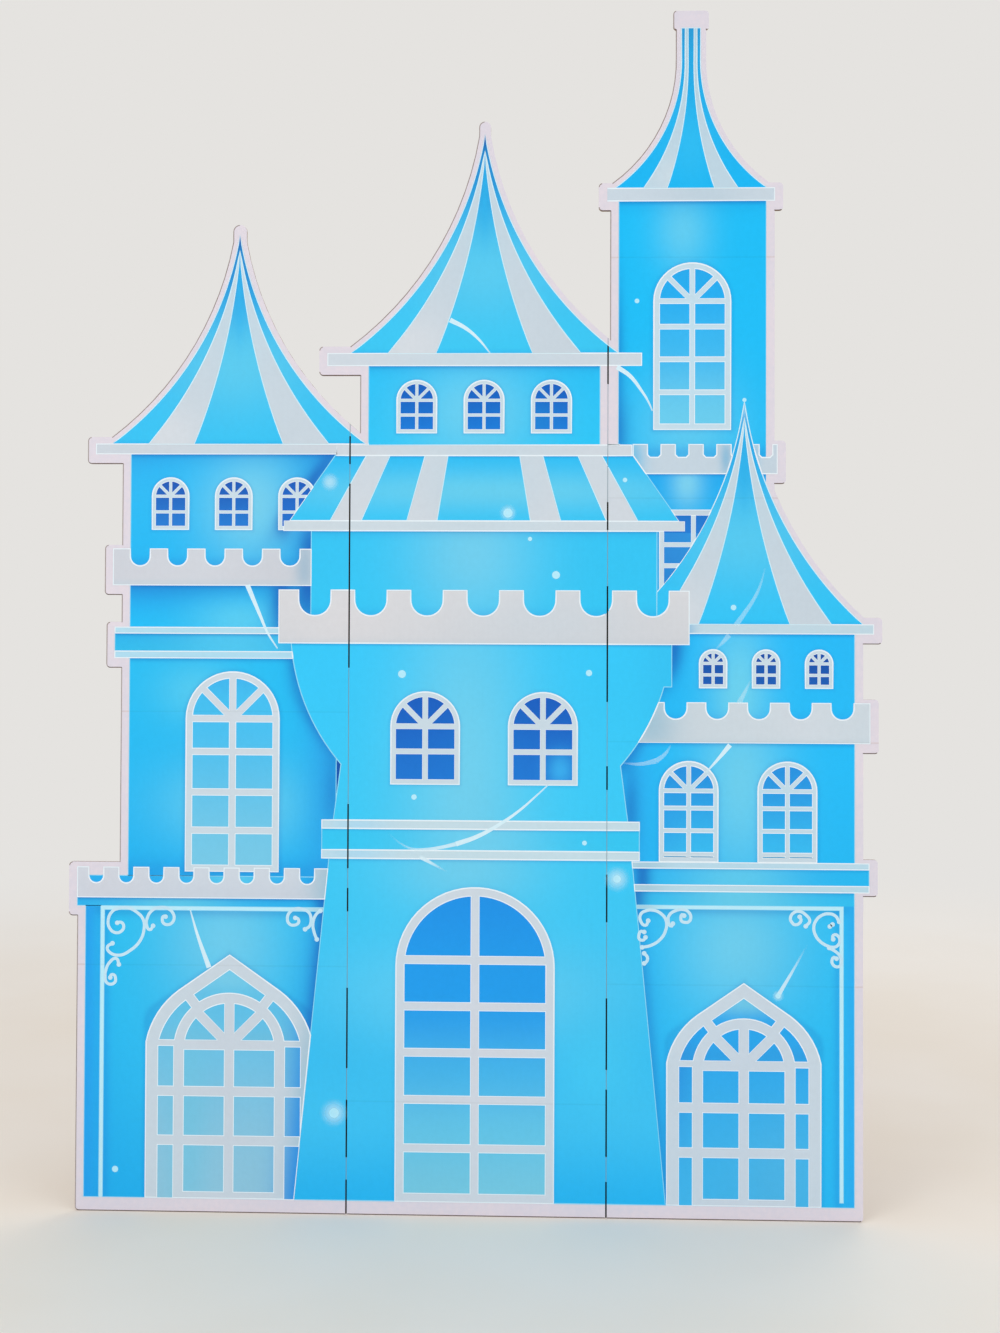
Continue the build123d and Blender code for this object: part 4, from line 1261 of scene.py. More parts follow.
class RibbonTree:
    """A Geometry Nodes tree in the making, with named inputs."""

    def __init__(self, name: str, floats: dict[str, float]) -> None:
        """Start a tree with a geometry in and out and named numbers.

        Args:
            name: the tree's name.
            floats: default values of its numbers, by name.
        """
        tree = bpy.data.node_groups.new(name, "GeometryNodeTree")
        tree.interface.new_socket("Geometry", in_out="INPUT", socket_type="NodeSocketGeometry")
        for label, value in floats.items():
            made = tree.interface.new_socket(label, in_out="INPUT",
                                             socket_type="NodeSocketFloat")
            made.default_value = value
        tree.interface.new_socket("Material", in_out="INPUT", socket_type="NodeSocketMaterial")
        tree.interface.new_socket("Geometry", in_out="OUTPUT", socket_type="NodeSocketGeometry")
        self.graph = Graph(tree)
        self.given = self.graph.node("NodeGroupInput").outputs
        self.result = self.graph.node("NodeGroupOutput").inputs

    def vector(self, x: Socket = 0.0, y: Socket = 0.0, z: Socket = 0.0) -> bpy.types.NodeSocket:
        """Combine three numbers into a vector socket.

        Args:
            x: the part across.
            y: the part from front to back.
            z: the part upwards.

        Returns:
            The socket with the vector.
        """
        made = self.graph.node("ShaderNodeCombineXYZ")
        for socket, value in zip(made.inputs, (x, y, z)):
            self.graph.feed(socket, value)
        return made.outputs[0]

    def profile(self, width: Socket) -> bpy.types.NodeSocket:
        """Flat cross-section of a printed stroke, as wide as is given.

        Args:
            width: the stroke's width.

        Returns:
            The socket with the line across the stroke.
        """
        half = self.graph.math("MULTIPLY", width, 0.5)
        line = self.graph.node("GeometryNodeCurvePrimitiveLine")
        self.graph.feed(line.inputs["Start"], self.vector(
            y=self.graph.math("MULTIPLY", half, -1.0)))
        self.graph.feed(line.inputs["End"], self.vector(y=half))
        return line.outputs[0]

    def sweep(self, curve: bpy.types.NodeSocket, width: Socket,
              scale: Optional[Socket] = None) -> bpy.types.NodeSocket:
        """Turn curves into flat strokes that face the viewer.

        Args:
            curve: the curves.
            width: the strokes' width.
            scale: how the width changes along them, if it does.

        Returns:
            The socket with the strokes' mesh.
        """
        normal = self.graph.node("GeometryNodeSetCurveNormal", mode="FREE")
        self.graph.feed(normal.inputs["Curve"], curve)
        self.graph.feed(normal.inputs["Normal"], TOWARDS_VIEWER)
        sweep = self.graph.node("GeometryNodeCurveToMesh")
        self.graph.feed(sweep.inputs["Curve"], normal.outputs[0])
        self.graph.feed(sweep.inputs["Profile Curve"], self.profile(width))
        if scale is not None and "Scale" in sweep.inputs:
            self.graph.feed(sweep.inputs["Scale"], scale)
        return sweep.outputs[0]

    def finish(self, geometry: bpy.types.NodeSocket) -> bpy.types.NodeTree:
        """Realise the instances, set the material and close the tree.

        Args:
            geometry: the tree's result so far.

        Returns:
            The finished tree.
        """
        real = self.graph.node("GeometryNodeRealizeInstances")
        self.graph.feed(real.inputs[0], geometry)
        inked = self.graph.node("GeometryNodeSetMaterial")
        self.graph.feed(inked.inputs["Geometry"], real.outputs[0])
        self.graph.feed(inked.inputs["Material"], self.given["Material"])
        self.graph.feed(self.result["Geometry"], inked.outputs[0])
        return self.graph.tree


def grow(name: str, data: bpy.types.ID, tree: bpy.types.NodeTree,
         values: dict[str, object]) -> bpy.types.Object:
    """Run a Geometry Nodes tree on some data and keep the result as a plain mesh piece.

    Args:
        name: the piece's name.
        data: the mesh or curve that the tree starts from.
        tree: the tree.
        values: its inputs, by name.

    Returns:
        The finished piece, which rides on the object's body.
    """
    carrier = bpy.data.objects.new(name + "_guide", data)
    bpy.context.scene.collection.objects.link(carrier)
    modifier = carrier.modifiers.new("strokes", "NODES")
    modifier.node_group = tree
    for item in tree.interface.items_tree:
        if item.in_out == "INPUT" and item.name in values:
            modifier[item.identifier] = values[item.name]
    carrier.update_tag()
    bpy.context.view_layer.update()
    evaluated = carrier.evaluated_get(bpy.context.evaluated_depsgraph_get())
    mesh = bpy.data.meshes.new_from_object(evaluated)
    carrier.modifiers.remove(modifier)
    bpy.data.objects.remove(carrier)
    mesh.name = name
    if mesh.polygons and sum(face.normal.y * face.area for face in mesh.polygons) > 0:
        mesh.flip_normals()
    piece = bpy.data.objects.new(name, mesh)
    bpy.context.scene.collection.objects.link(piece)
    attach(piece, ROOT)
    LOG.info("%s: %d faces", name, len(mesh.polygons))
    return piece


def rim_tree() -> bpy.types.NodeTree:
    """Tree that draws a stroke along the outline of printed shapes.

    Returns:
        The tree, with the folds left out.
    """
    made = RibbonTree("printed rim", {
        "Rim Width": 0.0024, "Weld Distance": 0.00001, "Lift": 0.00003,
        "Left Fold": LEFT_FOLD * MM, "Right Fold": RIGHT_FOLD * MM,
        "Fold Margin": FOLD_MARGIN * MM, "Lowest": 0.0})
    graph, given = made.graph, made.given
    weld = graph.node("GeometryNodeMergeByDistance")
    graph.feed(weld.inputs["Geometry"], given["Geometry"])
    graph.feed(weld.inputs["Distance"], given["Weld Distance"])
    _, facing, _ = graph.split(graph.node("GeometryNodeInputNormal").outputs[0])
    drop = graph.node("GeometryNodeDeleteGeometry", domain="FACE")
    graph.feed(drop.inputs["Geometry"], weld.outputs[0])
    graph.feed(drop.inputs["Selection"], graph.math("GREATER_THAN", facing, FACES_FRONT))
    count = graph.node("GeometryNodeInputMeshEdgeNeighbors").outputs[0]
    single = graph.math("COMPARE", count, OUTER_EDGE_FACES, COUNT_SLACK)
    x, _, z = graph.split(graph.node("GeometryNodeInputPosition").outputs[0])
    chosen = graph.math("MULTIPLY", single, graph.math("GREATER_THAN", z, given["Lowest"]))
    for fold in ("Left Fold", "Right Fold"):
        apart = graph.math("ABSOLUTE", graph.math("SUBTRACT", x, given[fold]))
        chosen = graph.math("MULTIPLY", chosen, graph.math("GREATER_THAN", apart,
                                                           given["Fold Margin"]))
    curve = graph.node("GeometryNodeMeshToCurve")
    graph.feed(curve.inputs["Mesh"], drop.outputs[0])
    graph.feed(curve.inputs["Selection"], chosen)
    strokes = made.sweep(curve.outputs[0], given["Rim Width"])
    lift = graph.node("GeometryNodeSetPosition")
    graph.feed(lift.inputs["Geometry"], strokes)
    graph.feed(lift.inputs["Offset"], made.vector(y=graph.math("MULTIPLY", given["Lift"], -1.0)))
    return made.finish(lift.outputs[0])


def scroll_tree() -> bpy.types.NodeTree:
    """Tree that draws scrolls: even strokes with a round dot at each end.

    Returns:
        The tree.
    """
    made = RibbonTree("printed scroll", {"Stroke Width": 0.005, "Dot Radius": 0.0036,
                                         "Dot Lift": 0.000045, "Step": 0.0022})
    graph, given = made.graph, made.given
    even = graph.node("GeometryNodeResampleCurve", mode="LENGTH")
    graph.feed(even.inputs["Curve"], given["Geometry"])
    graph.feed(even.inputs["Length"], given["Step"])
    strokes = made.sweep(even.outputs[0], given["Stroke Width"])
    ends = graph.node("GeometryNodeCurveEndpointSelection")
    kept = graph.node("GeometryNodeSeparateGeometry", domain="POINT")
    graph.feed(kept.inputs["Geometry"], even.outputs[0])
    graph.feed(kept.inputs["Selection"], ends.outputs[0])
    disc = graph.node("GeometryNodeMeshCircle", fill_type="NGON")
    disc.inputs["Vertices"].default_value = DOT_CORNERS
    graph.feed(disc.inputs["Radius"], given["Dot Radius"])
    turned = graph.node("GeometryNodeTransform")
    graph.feed(turned.inputs["Geometry"], disc.outputs[0])
    turned.inputs["Rotation"].default_value = UPRIGHT
    graph.feed(turned.inputs["Translation"], made.vector(
        y=graph.math("MULTIPLY", given["Dot Lift"], -1.0)))
    dots = graph.node("GeometryNodeInstanceOnPoints")
    graph.feed(dots.inputs["Points"], kept.outputs[0])
    graph.feed(dots.inputs["Instance"], turned.outputs[0])
    joined = graph.node("GeometryNodeJoinGeometry")
    graph.feed(joined.inputs[0], strokes)
    graph.feed(joined.inputs[0], dots.outputs[0])
    return made.finish(joined.outputs[0])


def line_tree() -> bpy.types.NodeTree:
    """Tree that draws plain strokes along curves."""
    made = RibbonTree("plain line", {"Stroke Width": 0.001})
    return made.finish(made.sweep(made.given["Geometry"], made.given["Stroke Width"]))


def swoosh_tree() -> bpy.types.NodeTree:
    """Tree that draws trails of light: strokes that thin out along their run.

    Returns:
        The tree, which also stores how far along its stroke each point lies.
    """
    made = RibbonTree("printed trail", {"Stroke Width": 0.006, "Step": 0.004,
                                        "End Share": 0.25})
    graph, given = made.graph, made.given
    even = graph.node("GeometryNodeResampleCurve", mode="LENGTH")
    graph.feed(even.inputs["Curve"], given["Geometry"])
    graph.feed(even.inputs["Length"], given["Step"])
    along = graph.node("GeometryNodeSplineParameter").outputs["Factor"]
    left = graph.math("SUBTRACT", 1.0, along)
    slim = graph.math("MULTIPLY_ADD", left, graph.math("SUBTRACT", 1.0, given["End Share"]),
                      given["End Share"])
    keep_fade = graph.node("GeometryNodeStoreNamedAttribute", data_type="FLOAT", domain="POINT")
    graph.feed(keep_fade.inputs["Geometry"], even.outputs[0])
    keep_fade.inputs["Name"].default_value = FADE
    graph.feed(keep_fade.inputs["Value"], along)
    sized = graph.node("GeometryNodeSetCurveRadius")
    graph.feed(sized.inputs["Curve"], keep_fade.outputs[0])
    graph.feed(sized.inputs["Radius"], slim)
    return made.finish(made.sweep(sized.outputs[0], given["Stroke Width"], slim))


def sparkle_tree() -> bpy.types.NodeTree:
    """Tree that puts a round sparkle, bright in the middle, on each point.

    Returns:
        The tree, which also stores how far from its middle each point lies.
    """
    made = RibbonTree("printed sparkle", {"Size": 1.0})
    graph, given = made.graph, made.given
    disc = graph.node("GeometryNodeMeshCircle", fill_type="TRIANGLE_FAN")
    disc.inputs["Vertices"].default_value = SPARKLE_CORNERS
    disc.inputs["Radius"].default_value = 1.0
    apart = graph.node("ShaderNodeVectorMath", operation="LENGTH")
    graph.feed(apart.inputs[0], graph.node("GeometryNodeInputPosition").outputs[0])
    keep_fade = graph.node("GeometryNodeStoreNamedAttribute", data_type="FLOAT", domain="POINT")
    graph.feed(keep_fade.inputs["Geometry"], disc.outputs[0])
    keep_fade.inputs["Name"].default_value = FADE
    graph.feed(keep_fade.inputs["Value"], apart.outputs["Value"])
    turned = graph.node("GeometryNodeTransform")
    graph.feed(turned.inputs["Geometry"], keep_fade.outputs[0])
    turned.inputs["Rotation"].default_value = UPRIGHT
    radius = graph.node("GeometryNodeInputNamedAttribute", data_type="FLOAT")
    radius.inputs["Name"].default_value = RADIUS
    dots = graph.node("GeometryNodeInstanceOnPoints")
    graph.feed(dots.inputs["Points"], given["Geometry"])
    graph.feed(dots.inputs["Instance"], turned.outputs[0])
    graph.feed(dots.inputs["Scale"], graph.math("MULTIPLY", radius.outputs[0], given["Size"]))
    return made.finish(dots.outputs[0])


class RimInk(Enum):
    """Inks of the bright rims."""

    WHITE = LineFinish("bright rim print", RIM_WHITE, ink(228, 242, 250))
    STRIPE = LineFinish("stripe rim print", ink(212, 240, 250), ink(200, 236, 250))
    EDGE = LineFinish("pale edge print", ink(150, 222, 248), ink(136, 216, 247))


@dataclass(frozen=True)
class Rim:
    """Rims along the outlines of some nodes, with lengths in millimetres.

    The lift is how far they lie in front of the shapes, and below the lowest level none is drawn.
    """

    name: str
    nodes: tuple[str, ...]
    width: float
    lift: float
    colour: RimInk = RimInk.WHITE
    slot: str = "pale_ink"
    lowest: float = 0.0


@dataclass
class PrintedCastle:
    """The castle's print: its fields' colours, and the bright rims drawn over them."""

    rims: tuple[Rim, ...] = (
        Rim("trim_rims", (
            "left_tower_trim", "left_gatehouse_trim", "keep_trim", "crown_trim",
            "tall_tower_trim", "right_turret_trim", "right_gatehouse_trim"),
            width=2.1, lift=0.05, lowest=472.0),
        Rim("stripe_rims", (
            "left_roof_pale", "crown_roof_pale", "right_roof_pale", "hip_roof_pale",
            "spire_roof_pale"), width=1.7, lift=0.03, colour=RimInk.STRIPE),
        Rim("flank_rims", (
            "left_roof_blue", "crown_roof_blue", "right_roof_blue", "spire_roof_blue"),
            width=1.5, lift=0.015, colour=RimInk.STRIPE),
        Rim("wall_rims", (
            "left_tower_wall", "left_gatehouse_wall", "tall_tower_wall", "right_turret_wall",
            "right_gatehouse_wall"),
            width=1.3, lift=0.01, colour=RimInk.EDGE, slot="blue_ink"),
        Rim("frame_rims", ("window_frames",), width=2.1, lift=0.04, slot="frame_ink"),
        Rim("pane_rims", ("mid_panes", "pale_panes", "door_panes"),
            width=3.2, lift=-0.05, slot="frame_ink"),
        Rim("small_pane_rims", ("dark_panes",), width=1.8, lift=-0.05, slot="frame_ink"),
        Rim("keep_edges", ("keep_base", "keep_wall", "crown_wall", "hip_roof_blue"),
            width=1.6, lift=0.02, colour=RimInk.EDGE, slot="blue_ink"),
    )

    def dress(self) -> None:
        """Give each field of ink its finish."""
        finishes = {**wall_finishes(), **roof_finishes(), **trim_finishes(), **pane_finishes()}
        for node, finish in finishes.items():
            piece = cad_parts[node]
            material = finish.build()
            for slot in piece.material_slots:
                slot.material = material
            LOG.info("%s: %s", node, finish.name)

    @staticmethod
    def outline_guide(nodes: Iterable[str]) -> bpy.types.Mesh:
        """Copy some nodes' meshes into one guide mesh.

        Args:
            nodes: the CAD nodes.

        Returns:
            The joined copy, without materials.
        """
        places: list[Vector] = []
        faces: list[list[int]] = []
        for node in nodes:
            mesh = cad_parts[node].data
            start = len(places)
            places += [vertex.co.copy() for vertex in mesh.vertices]
            faces += [[start + index for index in face.vertices] for face in mesh.polygons]
        guide = bpy.data.meshes.new("outline_guide")
        guide.from_pydata(places, [], faces)
        guide.update()
        return guide

    def draw_rims(self) -> None:
        """Draw the bright rims of pale shapes, of panes and of the keep's edges."""
        tree = rim_tree()
        materials = {colour: colour.value.build() for colour in RimInk}
        for rim in self.rims:
            grow(rim.name, self.outline_guide(rim.nodes), tree,
                 {"Rim Width": rim.width * MM, "Lift": rim.lift * MM,
                  "Lowest": rim.lowest * MM, "Material": materials[rim.colour]})


def spline_curve(name: str, paths: Sequence[Sequence[Point]], depth: float,
                 step: float = 0.000004) -> bpy.types.Curve:
    """Smooth curves through points on the board's front.

    Args:
        name: the curve's name.
        paths: points in millimetres, across and up.
        depth: how far forward the first lies, in metres.
        step: how much further forward each next one lies, so that crossings stay clean.

    Returns:
        The curve.
    """
    curve = bpy.data.curves.new(name, "CURVE")
    curve.dimensions = "3D"
    curve.resolution_u = CURVE_RESOLUTION
    for index, path in enumerate(paths):
        spline = curve.splines.new("BEZIER")
        spline.bezier_points.add(len(path) - 1)
        for point, (x, z) in zip(spline.bezier_points, path):
            point.co = (x * MM, depth - step * index, z * MM)
            point.handle_left_type = "AUTO"
            point.handle_right_type = "AUTO"
    return curve


@dataclass
class Scrollwork:
    """The printed scrolls in the corners of the gatehouses, in millimetres."""

    stroke: float = 4.6
    dot: float = 3.5
    lift: float = 0.06
    finish: LineFinish = LineFinish("scroll print", ink(200, 232, 247), ink(186, 227, 246))
    left: tuple[tuple[Point, ...], ...] = (
        ((-548, 404), (-556, 398), (-553, 391), (-538, 386), (-520, 394), (-506, 408),
         (-500, 425), (-501, 440), (-512, 452), (-526, 458), (-538, 457), (-548, 453),
         (-555, 438), (-552, 426), (-543, 420), (-534, 423), (-531, 430), (-535, 436),
         (-541, 435)),
        ((-486, 431), (-491, 425), (-496, 432), (-495, 443), (-488, 454), (-476, 459),
         (-463, 457), (-455, 449), (-454, 442), (-457, 436), (-463, 433), (-470, 435),
         (-472, 440), (-470, 446), (-467, 445)),
        ((-538, 372), (-542, 381), (-553, 374), (-558, 363), (-559, 354), (-557, 345),
         (-551, 342), (-544, 345), (-543, 351), (-545, 356), (-550, 356), (-551, 352)),
        ((-254, 428), (-247, 433), (-245, 444), (-248, 453), (-257, 458), (-268, 459),
         (-277, 454), (-281, 445), (-278, 436), (-271, 434), (-264, 438), (-265, 444),
         (-269, 445)),
        ((-231, 456), (-237, 451), (-242, 438), (-240, 423), (-236, 413)),
    )
    right: tuple[tuple[Point, ...], ...] = (
        ((265, 446), (261, 439), (253, 447), (254, 456), (262, 461), (271, 462), (284, 457),
         (292, 446), (291, 431), (283, 418), (269, 409), (256, 406)),
        ((261, 421), (258, 417), (252, 418), (251, 424), (254, 430), (259, 429)),
        ((302, 442), (300, 438), (295, 446), (297, 455), (305, 461), (319, 463), (326, 459),
         (329, 452), (326, 445), (321, 444), (315, 446), (314, 450), (316, 456), (319, 454)),
        ((259, 397), (264, 391), (263, 385), (259, 382)),
        ((492, 454), (494, 448), (485, 442), (480, 446), (478, 451), (483, 460), (492, 462),
         (501, 457), (507, 448), (501, 440)),
        ((542, 421), (541, 425), (545, 428), (549, 426), (552, 420), (548, 411), (540, 409),
         (533, 411), (522, 418), (515, 428), (513, 439), (516, 448), (524, 456), (535, 459),
         (545, 456), (551, 447)),
        ((537, 440), (541, 443)),
        ((536, 408), (545, 403), (552, 396), (554, 387), (552, 381), (546, 380), (541, 384),
         (540, 388), (543, 394), (547, 392)),
    )

    def draw(self) -> None:
        """Draw the scrolls as printed strokes."""
        material = self.finish.build()
        tree = scroll_tree()
        for name, paths in (("left_scrolls", self.left), ("right_scrolls", self.right)):
            curve = spline_curve(name + "_path", paths, FIELD_FRONT - self.lift * MM)
            grow(name, curve, tree, {"Stroke Width": self.stroke * MM,
                                     "Dot Radius": self.dot * MM, "Material": material})


@dataclass(frozen=True)
class Trail:
    """Look of some trails of light.

    The width is in millimetres. The cover is that at their start, and it fades away between two
    shares of their run.
    """

    width: float
    cover: float
    fade_from: float
    fade_to: float


@dataclass
class Sparkles:
    """Round sparkles and trails of light in the print, in millimetres."""

    glow_lift: float = 0.02
    trail_lift: float = 0.03
    dot_lift: float = 0.05
    glow: LineFinish = LineFinish("glow print", ink(190, 232, 248), ink(190, 232, 248),
                                  fade_low=0.1, fade_high=1.0, strength=0.7)
    core: LineFinish = LineFinish("sparkle print", ink(186, 236, 253), ink(176, 234, 253),
                                  fade_low=0.82, fade_high=1.0)
    trail_colour: Colour = ink(220, 243, 252)
    trail_second: Colour = ink(210, 240, 252)
    beam: Trail = Trail(7.4, 0.95, 0.6, 1.8)
    trail: Trail = Trail(6.0, 0.8, 0.2, 1.0)
    ghost: Trail = Trail(8.0, 0.32, 0.5, 1.2)
    dots: tuple[tuple[float, float, float], ...] = (
        (51.5, 1059.8, 7.5), (85.0, 1020.5, 3.6), (124.6, 966.0, 6.6), (-108.5, 815.1, 6.6),
        (174.9, 818.0, 5.2), (-89.4, 629.1, 4.6), (168.8, 561.8, 4.0), (246.1, 1382.0, 3.8),
        (228.6, 1110.2, 3.8), (392.5, 917.8, 4.6), (217.9, 508.1, 6.4), (-208.3, 152.0, 8.2),
        (-541.3, 63.2, 5.2), (459.6, 335.3, 4.2), (408.5, 1231.5, 3.4))
    glows: tuple[tuple[float, float, float], ...] = (
        (-219.9, 1106.5, 16.0), (-208.3, 152.0, 24.0), (217.9, 508.1, 22.0),
        (51.5, 1059.8, 15.0), (459.6, 335.3, 10.0))
    beams: tuple[tuple[Point, ...], ...] = (
        ((-37.9, 1353.6), (-14.0, 1341.0), (6.0, 1324.0), (23.2, 1303.2)),
        ((216.1, 1281.7), (235.8, 1268.0), (252.5, 1246.7), (263.1, 1230.0), (269.9, 1214.8)),
        ((-345.2, 949.3), (-325.7, 903.7), (-314.1, 877.2), (-298.6, 852.9)),
        ((-400.0, 368.8), (-417.9, 417.8), (-429.7, 457.0)),
        ((-25.4, 558.7), (4.9, 569.5), (41.1, 589.4), (71.3, 610.7), (95.4, 632.0),
         (113.5, 648.7)),
        ((387.4, 710.8), (371.0, 691.1), (351.5, 669.2)),
    )
    trails: tuple[tuple[Point, ...], ...] = (
        ((-25.4, 558.7), (-49.6, 553.2), (-73.9, 550.3), (-93.6, 551.5), (-110.3, 559.5),
         (-131.7, 577.5)),
        ((-79.9, 538.7), (-58.6, 527.5), (-35.8, 514.9)),
        ((460.4, 336.8), (480.5, 371.3), (505.2, 415.7)),
    )
    ghosts: tuple[tuple[Point, ...], ...] = (
        ((396.3, 891.5), (412.3, 914.1), (424.8, 933.8), (433.8, 954.9), (439.8, 977.6)),
        ((385.8, 876.3), (376.8, 865.7), (366.2, 855.1)),
        ((400.9, 774.0), (409.9, 791.1), (418.6, 808.7)),
        ((276.2, 686.0), (289.8, 696.6), (298.8, 710.2)),
        ((276.2, 686.0), (252.2, 681.3), (225.8, 682.6)),
    )

    @staticmethod
    def points(spots: Sequence[tuple[float, float, float]], lift: float) -> bpy.types.Mesh:
        """A mesh of loose points with a radius on each.

        Args:
            spots: places across and up, and radii, in millimetres.
            lift: how far in front of the print they lie, in millimetres.

        Returns:
            The mesh.
        """
        mesh = bpy.data.meshes.new("sparkle_points")
        depth = TOP_FRONT - lift * MM
        mesh.from_pydata([(x * MM, depth, z * MM) for x, z, _ in spots], [], [])
        radius = mesh.attributes.new(RADIUS, "FLOAT", "POINT")
        for entry, (_, _, size) in zip(radius.data, spots):
            entry.value = size * MM
        return mesh

    def draw(self) -> None:
        """Draw the dots, their glows and the trails."""
        tree = sparkle_tree()
        glow = self.glow.build()
        core = self.core.build()
        pieces = [
            grow("sparkle_glows", self.points(self.glows, self.glow_lift), tree,
                 {"Material": glow}),
            grow("sparkle_dots", self.points(self.dots, self.dot_lift), tree,
                 {"Material": core})]
        stroke = swoosh_tree()
        for name, paths, look in (("light_beams", self.beams, self.beam),
                                  ("light_trails", self.trails, self.trail),
                                  ("light_ghosts", self.ghosts, self.ghost)):
            curve = spline_curve(name + "_path", paths, TOP_FRONT - self.trail_lift * MM)
            finish = LineFinish(name.replace("_", " "), self.trail_colour, self.trail_second,
                                look.fade_from, look.fade_to, look.cover)
            pieces.append(grow(name, curve, stroke, {
                "Stroke Width": look.width * MM, "Material": finish.build()}))
        for piece in pieces:
            piece.visible_shadow = False
            piece.visible_diffuse = False


@dataclass
class Structure:
    """The board itself and the easel behind it.

    The width and lift of the painted shade line along the cut edges are in millimetres. Its other
    numbers are sines of angles.
    """

    cut_shade_width: float = 1.4
    cut_shade_lift: float = 0.03
    sharpest_corner: float = 0.4
    least_turn: float = 0.08
    level_share: float = 0.8
    places_kept: int = 6
    # Painted shade: brown line on the cut edges that face left.
    side: LineFinish = LineFinish("cut side painted shade", ink(166, 155, 154), ink(144, 131, 126))
    # Painted shadow: darker brown line under the cut edges that face down.
    underside: LineFinish = LineFinish("cut underside painted shadow", ink(112, 98, 92), ink(92, 78, 70))

    def cut_shade_outline(self, inset: float, under: bool) -> bpy.types.Curve:
        """Curve for the painted shade along the cut edges that face left or down, drawn in from
        them.

        Args:
            inset: how far in from the edge it runs, in metres.
            under: True for the undersides, False for the edges that face left.

        Returns:
            The curve, just in front of the board.
        """
        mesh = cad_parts["castle_board"].data
        edges: set[tuple[Point, Point]] = set()
        for face in mesh.polygons:
            in_front = face.center.y < BOARD_FRONT + self.cut_shade_lift * MM
            if face.normal.y < FACES_FRONT and in_front:
                corners = [(round(mesh.vertices[index].co.x, self.places_kept),
                            round(mesh.vertices[index].co.z, self.places_kept))
                           for index in face.vertices]
                edges |= set(zip(corners, corners[1:] + corners[:1]))
        onward = {start: end for start, end in edges if (end, start) not in edges}
        curve = bpy.data.curves.new("cut_shade_path", "CURVE")
        curve.dimensions = "3D"
        while onward:
            spot = min(onward)
            loop = []
            while spot in onward:
                loop.append(Vector(spot))
                spot = onward.pop(spot)
            self.draw_loop(curve, loop, inset, under)
        return curve

    def draw_loop(self, curve: bpy.types.Curve, loop: Sequence[Vector], inset: float,
                  under: bool) -> None:
        """Add the left-facing or the underside stretches of one closed outline to a curve.

        Args:
            curve: the curve that is added to.
            loop: the outline's corners, with the board on their left.
            inset: how far in from the edge the stretches run, in metres.
            under: True for the undersides, False for the edges that face left.
        """
        spline = None
        for index, corner in enumerate(loop):
            onward = loop[(index + 1) % len(loop)]
            before = (corner - loop[index - 1]).normalized()
            after = (onward - corner).normalized()
            inward = Vector((-before.y - after.y, before.x + after.x)).normalized()
            square = max(inward.dot(Vector((-after.y, after.x))), self.sharpest_corner)
            place = corner + inward * inset / square
            spot = (place.x, BOARD_FRONT - self.cut_shade_lift * MM, place.y, 1.0)
            if spline:
                spline.points.add(1)
                spline.points[-1].co = spot
            folded = any(max(abs(corner.x - fold * MM), abs(onward.x - fold * MM))
                         < FOLD_MARGIN * MM for fold in (LEFT_FOLD, RIGHT_FOLD))
            # Painted shade goes only where shade falls: on edges that face left and under edges
            # that face down.
            faces_down = after.x > self.level_share
            wanted = faces_down if under else -after.y > self.least_turn and not faces_down
            if folded or not wanted:
                spline = None
            elif not spline:
                spline = curve.splines.new("POLY")
                spline.points[0].co = spot

    def draw_cut_shade_lines(self) -> None:
        """Draw painted shade along the cut edges: a thin brown line on the edges that face left,
        and a darker painted shadow under the edges that face down.
        """
        width = self.cut_shade_width * MM
        tree = line_tree()
        for name, under, finish in (("cut_side_painted_shade", False, self.side),
                                    ("cut_underside_painted_shadow", True, self.underside)):
            grow(name, self.cut_shade_outline(width / 2, under), tree,
                 {"Stroke Width": width, "Material": finish.build()})

    def dress(self) -> None:
        """Give the board and the easel their finishes."""
        for node, material in (("castle_board", BoardFinish().build()),
                               ("easel", EaselFinish().build())):
            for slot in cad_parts[node].material_slots:
                slot.material = material
            LOG.info("%s: %s", node, material.name)


@dataclass(frozen=True)
class Lamp:
    """A round lamp, with its width and place in metres."""

    name: str
    power: float
    size: float
    place: tuple[float, float, float]


